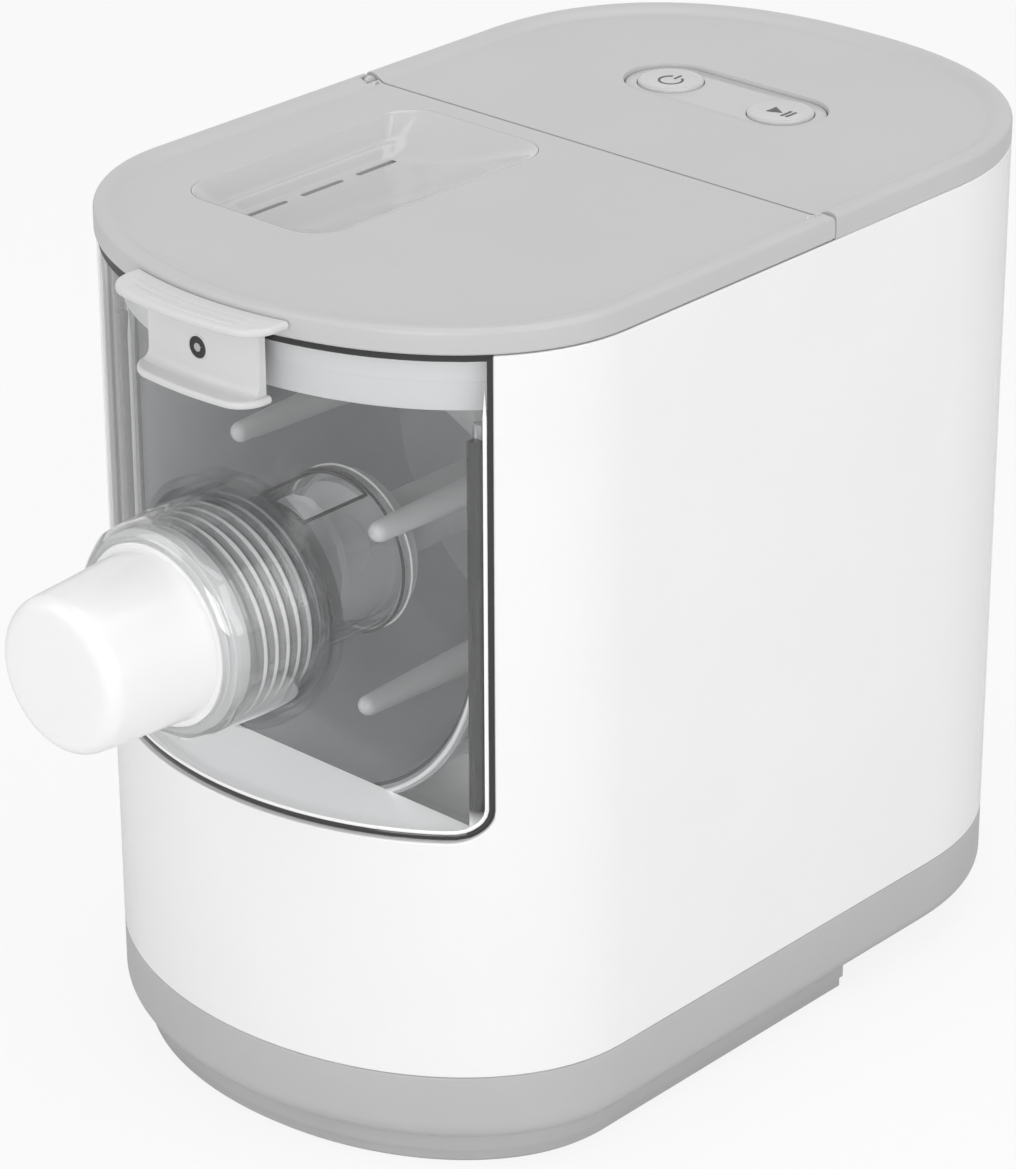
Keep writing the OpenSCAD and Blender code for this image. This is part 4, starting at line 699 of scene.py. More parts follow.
def scoop_drop(s, leftness):
    """Depth share down the slope: a hollow that flattens, with a ledge on the steep left side."""
    hollow = 1 - (1 - s) ** 1.7
    steps = np.interp(s, [0, 0.06, 0.42, 0.5, 0.66, 0.74, 0.94, 1.0],
                      [0, 0.03, 0.62, 0.68, 0.70, 0.75, 0.98, 1.0])
    return hollow * (1 - leftness) + steps * leftness


def water_scoop():
    """Insert in the lid: bead, ruled hollow down to a capsule floor, three slots with spouts."""
    top, low = scoop_rings()
    way = np.gradient(top, axis=0)
    outward = np.stack([way[:, 1], -way[:, 0]], 1)
    outward /= np.maximum(np.linalg.norm(outward, axis=1), 1e-9)[:, None]
    leftness = np.clip((-outward[:, 0] - 0.55) / 0.3, 0, 1)[:, None]
    s = np.concatenate([[0, 0.012, 0.03], np.linspace(0.06, 1, 30)])
    xy = top[:, None] + (low - top)[:, None] * s[None, :, None]
    hollow = scoop_drop(s[None], leftness)
    swell = np.interp(s, [0, 0.012, 0.03, 0.07, 0.12], [0.0, 0.14, 0.14, 0.03, 0.0])
    z = DECK_Z - SCOOP_DEPTH * hollow + swell
    under = z - SCOOP_WALL
    under[:, 0] = DECK_Z - 0.9
    ring = np.concatenate([xy[:, ::-1], xy[:, :1], xy], 1)
    heights = np.concatenate([under[:, ::-1], z[:, :1] * 0 + DECK_Z - 0.4, z], 1)
    shape = Shape().grid(np.concatenate([ring, heights[..., None]], -1), close_u=True)
    floor = DECK_Z - SCOOP_DEPTH
    spout_low = floor - 6.5

    def long_hole(half_w, half_l, r):
        return [rounded_loop(SLOT_X - half_w, SLOT_X + half_w, y - half_l, y + half_l, r, 4)
                for y in SLOT_Y]

    slots, spouts = long_hole(0.9, 8, 0.85), long_hole(1.7, 8.8, 1.6)
    shape.plate([low] + slots, floor)
    shape.plate([low] + spouts, floor - SCOOP_WALL)
    for slot, spout in zip(slots, spouts):
        shape.grid(lofted([(slot, floor), (slot, spout_low)]), close_u=True)
        shape.grid(lofted([(slot, spout_low), (spout, spout_low), (spout, floor - SCOOP_WALL)]),
                   close_u=True)
    return piece("water_scoop", shape, "lid", SCOOP_GREY,
                 centre=(-33, -37, 236), crease=40)


def seam_limits(points):
    """Rounds the lid's rear end about the hinge: heights stay inside two circles there."""
    y, z = points[..., 1], points[..., 2]
    past = np.clip(y - HINGE_Y, 0, 2.4)
    high = HINGE_Z + np.sqrt(np.clip(HINGE_R ** 2 - past ** 2, 0, None))
    low = HINGE_Z - np.sqrt(NOSE_R ** 2 - past ** 2)
    points[..., 2] = np.clip(z, low, high)
    return points


def lid_cover():
    """Front part of the top: rim sweep and deck, with the hole for the water scoop."""
    notch, notch_front = (2.75, 5.65), 10.6
    profile = with_insets(rim_profile(237.4), notch)
    fine = [15.4, 14.9, 14.2, 13.4, notch_front]

    def run(inset):
        return front_run(inset, LID_REAR_Y, fine)

    rim = swept(run, profile)
    keep = np.ones((rim.shape[0] - 1, rim.shape[1] - 1), bool)
    inset = np.array([p[0] for p in profile])
    middle = (inset[1:] + inset[:-1]) / 2
    y_mid = (rim[1:, 0, 1] + rim[:-1, 0, 1]) / 2
    gap = (middle > notch[0]) & (middle < notch[1])
    keep[np.ix_(y_mid > notch_front, gap)] = False
    shape = Shape().grid(seam_limits(rim), keep=keep)
    x0, x1, y0, y1, r = SCOOP
    play = 0.15
    hole = rounded_loop(x0 - play, x1 + play, y0 - play, y1 + play, r + play, 12)
    deck = seam_limits(at_level(run(DECK_INSET), DECK_Z))
    front = deck[:, 1] <= notch_front + 0.01
    shape.plate([deck[front][:, :2], hole], DECK_Z)
    rear_rows = deck[~front | (np.abs(deck[:, 1] - notch_front) < 0.02)]
    left = rear_rows[rear_rows[:, 0] < 0]
    right = rear_rows[rear_rows[:, 0] > 0][::-1]
    shape.grid(np.stack([left, right], 1))
    return piece("lid_cover", shape, "lid", TOP_GREY, ["lid"], thick=1.9, edge=0.3,
                 centre=(0, -40, 200), edge_angle=50)


def with_insets(profile, insets):
    """Adds points of the given insets where the profile's upper side passes them."""
    points = list(profile)
    for inset in insets:
        for k in range(len(points) - 1):
            (a, za), (b, zb) = points[k], points[k + 1]
            if k > 4 and a < inset < b:
                share = (inset - a) / (b - a)
                points.insert(k + 1, (inset, za + (zb - za) * share))
                break
    return points


def rear_cover():
    """Rear part of the top: rim sweep and deck, with the control pad's recess."""
    profile = rim_profile(SHELL_TOP)

    def run(inset):
        return rear_run(inset, PANEL_FRONT_Y)

    shape = Shape().grid(swept(run, profile))
    shape.plate([run(DECK_INSET), pad_outline(13.5)], DECK_Z)
    wall = [(13.5, DECK_Z), (13.42, DECK_Z - 0.35), (13.3, DECK_Z - 0.6), (13.3, 239.6)]
    shape.grid(lofted([(pad_outline(r), z) for r, z in wall]), close_u=True)
    return piece("rear_cover", shape, "housing", TOP_GREY, ["rear_panel"], thick=1.9, edge=0.3,
                 centre=(0, 80, 200), edge_angle=50)


def hinge_knuckles():
    """Two knuckles: a half circle about the hinge axis, drawn back to the rear panel."""
    mid = np.array([HINGE_Y, HINGE_Z])
    turn = np.linspace(np.pi * 1.5, np.pi * 0.5, 17)
    arc = [(HINGE_Y + HINGE_R * cos(t), HINGE_Z + HINGE_R * sin(t)) for t in turn]
    fall = [(HINGE_Y + HINGE_R * sin(t), HINGE_Z + HINGE_R * cos(t))
            for t in np.linspace(0.15, np.arccos(0.4 / HINGE_R), 6)]
    loop = np.array(arc + fall + [(16.6, DECK_Z), (16.6, HINGE_Z - HINGE_R)])
    shape = Shape()
    for side in (-1, 1):
        ends = [(80.4, 0.3), (80.7, 0.0), (81.65, 0.0), (81.95, 0.3)]
        rings = [at_level(mid + (loop - mid) * (1 - squeeze / HINGE_R), side * x, axis=0)
                 for x, squeeze in ends]
        shape.grid(np.stack(rings, 1), close_u=True)
        for ring in (rings[0], rings[-1]):
            shape.plate([ring[:, 1:]], ring[0, 0], axis=0)
    return piece("hinge_knuckles", shape, "housing", TOP_GREY,
                 centre=(0, 14, 242))


# ---- controls ----

def pad_plate():
    """Stadium plate with a rounded edge and two button holes."""
    edge = [(12.9, PAD_LOW), (12.9, 241.0), (12.78, 241.25), (12.5, PAD_TOP)]
    hole = [(9.75, PAD_TOP), (9.62, 241.3), (9.6, 241.1), (9.6, PAD_LOW)]
    shape = Shape().grid(lofted([(pad_outline(r), z) for r, z in edge]), close_u=True)
    for outer, inner, z in ((12.5, 9.75, PAD_TOP), (12.9, 9.6, PAD_LOW)):
        shape.plate([pad_outline(outer)] + [circle_loop(x, PAD_Y, inner, 64)
                                            for x in (-BUTTON_X, BUTTON_X)], z)
    for x in (-BUTTON_X, BUTTON_X):
        shape.grid(upright(hole, x, PAD_Y), close_u=True)
    return piece("pad_plate", shape, "housing", PAD_GREY, ["control_pad"],
                 centre=(0, PAD_Y, 240))


def button_height(radius):
    """Concave top: a shallow bowl, deepest in the middle, with a raised rounded ring."""
    radius = np.asarray(radius, float)
    return BUTTON_TOP - 0.55 * (1 - (np.clip(radius, 0, BUTTON_DISH) / BUTTON_DISH) ** 2)


def button_cap(name, node, x):
    """Turned about an upright axis: concave top, rounded ring, wall, rim, stem."""
    inner = [(r, float(button_height(r))) for r in np.linspace(0, BUTTON_DISH, 9)]
    ring = [(8.35, BUTTON_TOP), (8.8, BUTTON_TOP - 0.06), (9.2, BUTTON_TOP - 0.28),
            (9.38, BUTTON_TOP - 0.6), (9.4, 241.0)]
    rest = [(9.4, 239.2), (10.4, 239.1), (10.4, 238.2), (2.0, 238.2), (2.0, 235.5), (0, 235.5)]
    shape = Shape().grid(upright(inner + ring + rest, x, PAD_Y), close_u=True)
    return piece(name, shape, name.replace("_cap", ""), BUTTON_GREY, [node],
                 centre=(x, PAD_Y, 240), crease=40)


def raised_print(name, patches, body, x):
    """Printed sign: patches 0.07 mm over the concave top, with a 0.1 mm wall downwards."""
    shape = Shape()
    for px, py in patches:
        z = button_height(np.hypot(px, py)) + 0.07
        shape.grid(np.stack([x + px, PAD_Y + py, z], -1))
    return piece(name, shape, body, INK, thick=0.1, centre=(x, PAD_Y, 230))


def ring_patch(r0, r1, start, stop):
    """Part of a ring: radius from r0 to r1, angle from start to stop in degrees."""
    turn, radius = np.meshgrid(np.radians(np.linspace(start, stop, 40)), [r0, (r0 + r1) / 2, r1],
                               indexing="ij")
    return radius * np.cos(turn), radius * np.sin(turn)


def bar_patch(x0, x1, y0, y1, taper=1.0):
    """Rectangle whose height shrinks towards x1 by the taper; 0 makes it a triangle."""
    s, t = np.meshgrid(np.linspace(0, 1, 7), np.linspace(-1, 1, 5), indexing="ij")
    half = (y1 - y0) / 2 * (1 + (taper - 1) * s)
    return x0 + (x1 - x0) * s, (y0 + y1) / 2 + half * t


# ---- window ----

PANE_INSET = 1.45
PANE_HALF_W, PANE_TOP, PANE_LOW = WINDOW_X - 0.3, SHELL_TOP - 0.1, WINDOW_Z + 0.3
POCKET_R = 32.3
POCKET_Y = -118.7


def pane_border(turn):
    """Where a ray from the extruder's axis meets the window's rounded frame line."""
    half, top, low, r = PANE_HALF_W, PANE_TOP, PANE_LOW, WINDOW_R
    c, s = np.cos(turn), np.sin(turn)
    with np.errstate(divide="ignore"):
        side = np.where(np.abs(c) > 1e-9, half / np.abs(c), 1e9)
        cap = np.where(s > 1e-9, (top - AXIS_Z) / s, np.where(s < -1e-9, (low - AXIS_Z) / s, 1e9))
    reach = np.minimum(side, cap)
    x, z = reach * c, AXIS_Z + reach * s
    in_corner = (np.abs(x) > half - r) & (z < low + r) & (s < 0)
    cx, cz = np.sign(c) * (half - r), low + r - AXIS_Z
    along = cx * c + cz * s
    off = (cx * s - cz * c) ** 2
    round_reach = along + np.sqrt(np.clip(r ** 2 - off, 0, None))
    return np.where(in_corner, round_reach, reach)


def pane_turns():
    """Angles of the pane's columns: even, plus the upper and the rounded lower corners."""
    even = np.radians(np.arange(0, 360, 3.0))
    high = np.arctan2(PANE_TOP - AXIS_Z, PANE_HALF_W)
    low = np.arctan2(PANE_LOW - AXIS_Z, PANE_HALF_W)
    around = low + np.radians(np.linspace(-7, 7, 12))
    return np.unique(np.round(np.concatenate([even, [high, np.pi - high], around % (2 * np.pi),
                                              (np.pi - around) % (2 * np.pi)]), 9))


def clear_window():
    """Curved pane lofted from the nut pocket's circle to the frame line, with the pocket."""
    turn = pane_turns()
    edge = pane_border(turn)
    share = np.linspace(0, 1, 17)
    radius = POCKET_R + (edge - POCKET_R)[:, None] * share[None]
    depth = front_wall_y(radius * np.cos(turn)[:, None], PANE_INSET)
    keep = np.ones((len(turn), 16), bool)
    width = np.degrees(np.abs((turn + np.roll(turn, -1)) / 2 - np.pi / 2))
    top = (width < 6.1)[:, None] & (((radius[:, 1:] + radius[:, :-1]) / 2) > 62)
    keep[top] = False
    shape = Shape().grid(about_axis(radius, depth, turn[:, None]), close_u=True, keep=keep)
    front = front_wall_y(POCKET_R * np.cos(turn), PANE_INSET)
    wall_y = front[:, None] + (POCKET_Y - 1.0 - front)[:, None] * np.linspace(0, 1, 7)[None]
    floor = np.array([(POCKET_R, POCKET_Y - 1.0), (POCKET_R - 0.3, POCKET_Y - 0.3),
                      (POCKET_R - 1.0, POCKET_Y), (27.0, POCKET_Y), (22.4, POCKET_Y)])
    shape.grid(about_axis(POCKET_R, wall_y, turn[:, None]), close_u=True)
    shape.grid(about_axis(floor[None, :, 0], floor[None, :, 1], turn[:, None]), close_u=True)
    return piece("clear_window", shape, "housing", PANE, ["window"], thick=2.4, edge=0.35,
                 centre=(0, 0, 156), edge_angle=40)


def frame_line(inset_side, depth):
    """The window's frame line drawn in by a distance, laid on the front oval at a depth."""
    turn = pane_turns()
    edge = pane_border(turn)
    x, z = edge * np.cos(turn), edge * np.sin(turn)
    ahead = np.roll(np.stack([x, z], 1), -1, 0) - np.roll(np.stack([x, z], 1), 1, 0)
    ahead /= np.linalg.norm(ahead, axis=1)[:, None]
    x, z = x - ahead[:, 1] * inset_side, z + ahead[:, 0] * inset_side
    x = np.clip(x, inset_side - PANE_HALF_W, PANE_HALF_W - inset_side)
    z = np.minimum(z, PANE_TOP - AXIS_Z - inset_side)
    return np.stack([x, front_wall_y(x, depth), AXIS_Z + z], 1)


def window_edges():
    """Painted highlight: a bright bead beside the frame line. Painted shade: a dark lap strip
    between the pane and the shell.
    """
    path = frame_line(2.2, PANE_INSET)
    away = np.stack([path[:, 0] / HALF_W ** 2, (path[:, 1] + HALF_STRAIGHT) / FRONT_DEPTH ** 2,
                     0 * path[:, 0]], 1)
    away /= np.linalg.norm(away, axis=1)[:, None]
    keep = path[:, 2] < SHELL_TOP - 2.4
    start = int(np.argmax(keep & ~np.roll(keep, 1)))
    order = (np.arange(len(path)) + start) % len(path)
    order = order[keep[order]]
    line = Shape().grid(bead(path[order], away[order], 0.55, 8, 0.5, closed=False), close_v=True)
    piece("window_edge", line, "housing", EDGE_HIGHLIGHT, centre=(0, 0, 160),
          crease=60)
    top_gap_shade()
    rows = [frame_line(side, PANE_INSET - lift)
            for side, lift in ((1.75, 0.05), (1.6, 0.25), (0.3, 0.25), (0.1, 0.05))]
    in_notch = (np.abs(path[:, 0]) < 8) & (path[:, 2] > 200)
    free = ~(in_notch | np.roll(in_notch, -1))
    lap = Shape().grid(np.stack(rows, 1), close_u=True, keep=np.repeat(free[:, None], 3, 1))
    return piece("window_lap", lap, "housing", EDGE_DARK, centre=(0, 0, 160),
                 crease=60)


def top_gap_shade():
    """Dark strip on the pane under the lid's rim, taller to the left, open at the handle."""
    span = np.linspace(-71.0, 71.0, 60)
    drop = 1.3 + 1.5 * np.clip((-10 - span) / 30, 0, 1)
    rows = [np.stack([span, front_wall_y(span, PANE_INSET - lift), PANE_TOP - share * drop], 1)
            for lift, share in ((0.02, 0), (0.4, 0), (0.4, 1), (0.02, 1))]
    outside = (np.abs((span[1:] + span[:-1]) / 2) > 7.4)[:, None]
    gap = Shape().grid(np.stack(rows, 1), keep=np.repeat(outside, 3, 1))
    return piece("top_gap_shade", gap, "housing", BLACK,
                 centre=(0, 0, 237), crease=60)



# ---- mixing bowl ----

def trough_path(r, top, steps=48):
    """U shape seen from the front: down one side, half round, up the other."""
    turn = np.linspace(np.pi, 2 * np.pi, steps + 1)
    up = np.linspace(top, AXIS_Z, 7)[:-1]
    left = np.stack([0 * up - r, up], 1)
    right = np.stack([0 * up + r, up[::-1]], 1)
    arc = np.stack([r * np.cos(turn), AXIS_Z + r * np.sin(turn)], 1)
    return np.concatenate([left, arc, right])


def clear_trough():
    """U path carried from the rear wall to the open front, where it turns out as a rim."""
    profile = [(61.0, 2.4), (61.0, -40.0), (61.0, -96.6), (61.2, -97.6), (61.9, -98.3),
               (62.6, -98.5), (64.0, -98.5), (64.6, -98.2), (64.6, -96.8), (62.8, -96.2),
               (62.8, -40.0), (62.8, 4.0), (62.3, 4.7), (61.6, 5.0)]
    top, flange_z = 215.6, (213.6, 216.0)
    shape = Shape().grid(lofted([(trough_path(r, top), y) for r, y in profile], axis=1))
    hole = circle_loop(0, AXIS_Z, 9.0)
    shape.plate([trough_path(61.0, top), hole], 2.4, axis=1)
    shape.plate([trough_path(61.6, top), hole], 5.0, axis=1)
    shape.grid(turned([(9.0, 2.4), (9.0, 5.0)], 48), close_u=True)
    for side in (-1, 1):
        shape.plate([[(side * r, y) for r, y in profile]], top)
    shape.plate([np.array([(-61.0, 2.4), (61.0, 2.4), (61.6, 5.0), (-61.6, 5.0)])], top)
    flange_y = np.array([-96.0, -80, -66, -40, -20, 4.5])
    for side in (-1, 1):
        out = np.minimum(75.8, np.interp(flange_y, [-96, -88, -80, -70], [66.5, 71.5, 74.5, 75.8]))
        root = np.stack([np.full(6, side * 62.4), flange_y], 1)
        loop = np.concatenate([root, np.stack([side * out, flange_y], 1)[::-1]])
        places = [(side * 70, -66), (side * 70, -6)]
        for z in flange_z:
            shape.plate([loop] + [circle_loop(x, y, 1.9, 24) for x, y in places], z)
        shape.grid(lofted([(loop, z) for z in flange_z]), close_u=True)
        for x, y in places:
            shape.grid(upright([(1.9, z) for z in flange_z], x, y, 24), close_u=True)
    return piece("clear_trough", shape, "housing", BOWL_CLEAR, ["mixing_bowl"],
                 centre=(0, -45, 156), crease=35)


def trough_edges():
    """Painted highlight: a bright round along the trough's front edge; painted shade: a shaded line
    inside it.
    """
    for name, r, y, size, finish in (("bowl_edge", 63.1, -98.6, 0.75, EDGE_HIGHLIGHT),
                                     ("bowl_shade", 61.2, -97.6, 0.55, EDGE_DARK)):
        path = at_level(trough_path(r, 215.0), y, axis=1)
        away = np.tile([0.0, -1.0, 0.0], (len(path), 1))
        shape = Shape().grid(bead(path, away, size, 8, closed=False), close_v=True)
        piece(name, shape, "housing", finish, centre=(0, -98, 160), crease=60)


# ---- lid skirt and handle ----

def skirt_band():
    """Stepped band under the lid, swept round the front, with an upright rear wall."""
    rear = 7.0

    def run(inset):
        return front_run(inset, rear)

    outer = [(8.6, 240.0), (5.4, 240.0), (5.4, 228.6), (5.55, 228.2), (6.45, 227.8), (6.6, 227.4),
             (6.6, 220.5), (6.9, 220.0), (8.3, 220.0), (8.6, 220.5)]
    shape = Shape().grid(swept(run, outer), close_v=True)
    for side in (-1, 1):
        loop = np.array([(side * (HALF_W - inset), z) for inset, z in outer])
        shape.plate([loop], rear, axis=1)
    top = np.array([(-76.4, 240), (-63.5, 240), (-62.5, 230.6), (-3.5, 230.6), (-2.5, 240),
                    (76.4, 240)])
    outline = np.concatenate([top, [(76.4, 220.3), (-76.4, 220.3)]])
    faces = (rear - 0.05, rear - 2.0)
    for y in faces:
        shape.plate([outline], y, axis=1)
    shape.grid(lofted([(outline, y) for y in faces], axis=1), close_u=True)
    return piece("skirt_band", shape, "lid", SKIRT_GREY, ["lid_skirt"],
                 centre=(0, -40, 230), crease=40)


HANDLE_Y = -130.7
HANDLE_TOP, HANDLE_LOW, HANDLE_T = 242.2, 218.8, 2.2
GRIP_RIBS = 3
SCREW_Z = 229.6


def bent_y(x, y):
    """Shifts a straight handle line back along the lid's front arc, by the arc's own rise."""
    return y + (front_wall_y(x) - FRONT_Y)


def lip_outline(w, reach, r, shrink):
    """Lip between the lid's arc and a parallel arc, with two wide rounded front corners."""
    turn = np.linspace(0, np.pi / 2, 13)
    rr = max(r - shrink, 0.2)
    y0 = HANDLE_Y - reach
    left = np.stack([-w / 2 + r - rr * np.cos(turn), y0 + r - rr * np.sin(turn)], 1)
    front = np.stack([np.linspace(-w / 2 + r, w / 2 - r, 15)[1:-1], np.full(13, y0 + r - rr)], 1)
    right = np.stack([w / 2 - r + rr * np.sin(turn), y0 + r - rr * np.cos(turn)], 1)
    back = np.stack([np.linspace(w / 2 - shrink, -w / 2 + shrink, 25), np.full(25, HANDLE_Y)], 1)
    flat = np.concatenate([left, front, right, back])
    return np.stack([flat[:, 0], bent_y(flat[:, 0], flat[:, 1])], 1)


def lip(shape, w, reach, z0, z1, r, soft):
    """Closes one lip: its outline shrinks along a quarter round at both of its faces."""
    turn = np.linspace(0, np.pi / 2, 5)
    rows = [(soft * (1 - sin(t)), z0 + soft * (1 - cos(t))) for t in turn]
    rows += [(soft * (1 - cos(t)), z1 - soft * (1 - sin(t))) for t in turn]
    rings = [(lip_outline(w, reach, r, shrink), z) for shrink, z in rows]
    shape.grid(lofted(rings), close_u=True)
    shape.plate([rings[0][0]], z0).plate([rings[-1][0]], z1)


def bent_profile(loop, half, steps=21):
    """Carries a (depth, height) loop across the handle's width, bent along the lid's arc."""
    x = np.linspace(-half, half, steps)
    return np.stack([np.broadcast_to(x[:, None], (steps, len(loop))),
                     bent_y(x[:, None], loop[None, :, 0]),
                     np.broadcast_to(loop[None, :, 1], (steps, len(loop)))], -1)


def grip_handle():
    """Two lips and a web with quarter-round bends, half-round grip ribs, a screw well, a boss."""
    shape = Shape()
    lip(shape, 54, 11.5, HANDLE_TOP - HANDLE_T, HANDLE_TOP, 7.4, 0.9)
    lip(shape, 43, 9.0, HANDLE_LOW, HANDLE_LOW + HANDLE_T, 7.0, 0.9)
    back, front, bend = HANDLE_Y, HANDLE_Y - HANDLE_T, 3.2
    turn = np.linspace(0, np.pi / 2, 9)
    upper = np.stack([front - bend * (1 - np.cos(turn)),
                      HANDLE_TOP - 2.1 - bend * (1 - np.sin(turn))], 1)
    lower = np.stack([front - bend * (1 - np.sin(turn)),
                      HANDLE_LOW + 2.1 + bend * (1 - np.cos(turn))], 1)
    ends = [(front - bend, HANDLE_LOW + 1.1), (back, HANDLE_LOW + 1.1), (back, HANDLE_TOP - 1.1),
            (front - bend, HANDLE_TOP - 1.1)]
    web = bent_profile(np.concatenate([upper[::-1], lower[::-1], ends]), 20.0)
    shape.grid(web, close_v=True)
    for end in (web[0], web[-1]):
        shape.plate([end[:, 1:]], end[0, 0], axis=0)
    s = np.linspace(0, np.pi, 9)
    for k in range(GRIP_RIBS):
        half = 23.0 - (GRIP_RIBS - k)
        across = np.linspace(-half, half, 31)
        swell = np.sqrt(np.clip(1 - np.abs(across / half) ** 8, 0, 1))
        y = HANDLE_Y - 9.0 + 2.6 * k - 0.5 * np.cos(s)[None] * swell[:, None]
        z = HANDLE_TOP - 0.05 + 0.5 * np.sin(s)[None] * swell[:, None]
        x = np.broadcast_to(across[:, None], y.shape)
        shape.grid(np.stack([x, bent_y(x, y), z], -1), close_v=True)
    boss = [(1.8, back - 0.05), (4.0, back - 0.05), (4.0, -125.6), (1.8, -125.6)]
    shape.grid(turned(boss, 32, z=SCREW_Z), close_u=True, close_v=True)
    well = [(2.9, front - 0.05), (3.1, front - 0.3), (3.4, front - 0.25), (3.55, front + 0.1),
            (3.2, front + 0.3)]
    shape.grid(turned(well, 40, z=SCREW_Z), close_u=True, close_v=True)
    return piece("grip_handle", shape, "lid", HANDLE_GREY, ["lid_handle"],
                 centre=(0, -133, 229), crease=35)


def screw_shadow():
    """Painted shade: a dark cup in the screw's well; with it the screw's domed head, both turned
    about their axis.
    """
    front = HANDLE_Y - HANDLE_T
    cup = [(0.0, front - 0.02), (1.2, front - 0.03), (2.2, front - 0.08), (2.85, front - 0.2),
           (2.95, front - 0.12), (2.9, front + 0.02), (0.0, front + 0.05)]
    shape = Shape().grid(turned(cup, 40, z=SCREW_Z), close_u=True)
    dome = [(0.0, front - 0.45), (0.7, front - 0.42), (1.15, front - 0.3), (1.2, front - 0.05),
            (0.0, front - 0.04)]
    head = Shape().grid(turned(dome, 40, z=SCREW_Z), close_u=True)
    piece("screw_well", shape, "lid", BLACK, centre=(0, -133, SCREW_Z))
    return piece("screw_face", head, "lid", STEEL, centre=(0, -133, SCREW_Z))


# ---- extruder ----

def clear_barrel():
    """Turned tube; its radius waves with y + pitch t / 2 pi as a thread; feed opening left out."""
    steps = 144
    turn = np.radians(np.linspace(0, 360, steps, endpoint=False))
    mouth = np.array([-84.0, -86, -96, -104, -106, -108.0])
    outer_y = np.concatenate([[-80.0, -80.0, -80.3, -83.7, -84.0], mouth[1:],
                              [-112.5, -113, -116, -116.4]])
    outer_r = np.concatenate([[19.5, 22.6, 23.0, 23.0, 22.2], np.full(5, 22.1),
                              [22.1, 24.2, 24.2, 22.1]])
    rows, bore = 62, 19.5
    thread_y = np.linspace(-119.0, -143.6, rows)
    y = np.concatenate([outer_y, thread_y, [-144.3, -144.3], np.linspace(-143.6, -108, 8),
                        mouth[::-1][1:], [-80.0]])
    r = np.concatenate([outer_r, np.full(rows, 26.9), [26.2, 20.2], np.full(14, bore)])
    radius = np.broadcast_to(r, (steps, len(r))).copy()
    start = len(outer_y)
    phase = thread_y[None] / THREAD_PITCH * 2 * np.pi + turn[:, None]
    ridge = np.clip(0.5 + 1.2 * np.cos(phase), 0, 1)
    fade = np.clip((-119.5 - thread_y) / 2.5, 0, 1) * np.clip((thread_y + 143.4) / 1.5, 0, 1)
    radius[:, start:start + rows] = 26.6 + 0.9 * ridge * fade[None]
    above = np.abs(np.degrees(turn) + 1.25 - 90) < 28
    keep = np.ones((steps, len(y) - 1), bool)
    mid = (y[1:] + y[:-1]) / 2
    keep[np.ix_(above, (mid < mouth[0]) & (mid > mouth[-1]))] = False
    shape = Shape().grid(about_axis(radius, y[None], turn[:, None]), close_u=True, keep=keep)
    first, last = np.where(above)[0][0], np.where(above)[0][-1] + 1
    outside = np.array([22.2] + [22.1] * 5)
    for k in (0, -1):
        wall = np.array([[bore, outside[k]]])
        shape.grid(about_axis(wall, mouth[k], turn[first:last + 1, None]))
    for index in (first, last):
        wall = np.stack([outside, np.full(6, bore)], 1)
        shape.grid(about_axis(wall, mouth[:, None], turn[index]))
    return piece("clear_barrel", shape, "housing", BARREL_CLEAR, ["barrel"],
                 centre=(0, -112, 156), crease=34)


def barrel_edges():
    """Painted shade: a shaded line round the feed opening; on the rear collar a bright ring as
    painted highlight and a shaded ring as painted shade.
    """
    half = radians(28.0)
    arc = np.linspace(np.pi / 2 - half, np.pi / 2 + half, 25)
    depths = np.linspace(-84.3, -107.7, 13)
    turn = np.concatenate([arc, np.full(13, arc[-1]), arc[::-1], np.full(13, arc[0])])
    y = np.concatenate([np.full(25, -84.3), depths, np.full(25, -107.7), depths[::-1]])
    path = about_axis(22.2, y, turn)
    away = np.stack([np.cos(turn), 0 * turn, np.sin(turn)], 1)
    fresh = np.linalg.norm(path - np.roll(path, 1, 0), axis=1) > 1e-6
    shape = Shape().grid(bead(path[fresh], away[fresh], 0.5, 8), close_u=True, close_v=True)
    piece("feed_edge", shape, "housing", EDGE_DARK, centre=(0, -96, 176),
          crease=60)
    for name, r, y, size, finish in (("collar_edge", 22.9, -80.4, 0.45, EDGE_HIGHLIGHT),
                                     ("collar_shade", 22.9, -83.6, 0.4, EDGE_DARK)):
        ring = turned([(r + size * cos(t), y + size * sin(t))
                       for t in np.linspace(0, 2 * np.pi, 9)[:-1]], 72)
        piece(name, Shape().grid(ring, close_u=True, close_v=True), "housing", finish,
              centre=(0, -81, 156), crease=60)


NUT_FACETS = 12


def facet_radius(radius, turn, share):
    """Pulls a circle towards a polygon: the share of each flat's own depth is taken off."""
    step = 2 * np.pi / NUT_FACETS
    deepest = 1 / np.cos(step / 2) - 1
    return radius * (1 - share * deepest * (0.5 + 0.5 * np.cos(turn * NUT_FACETS)))


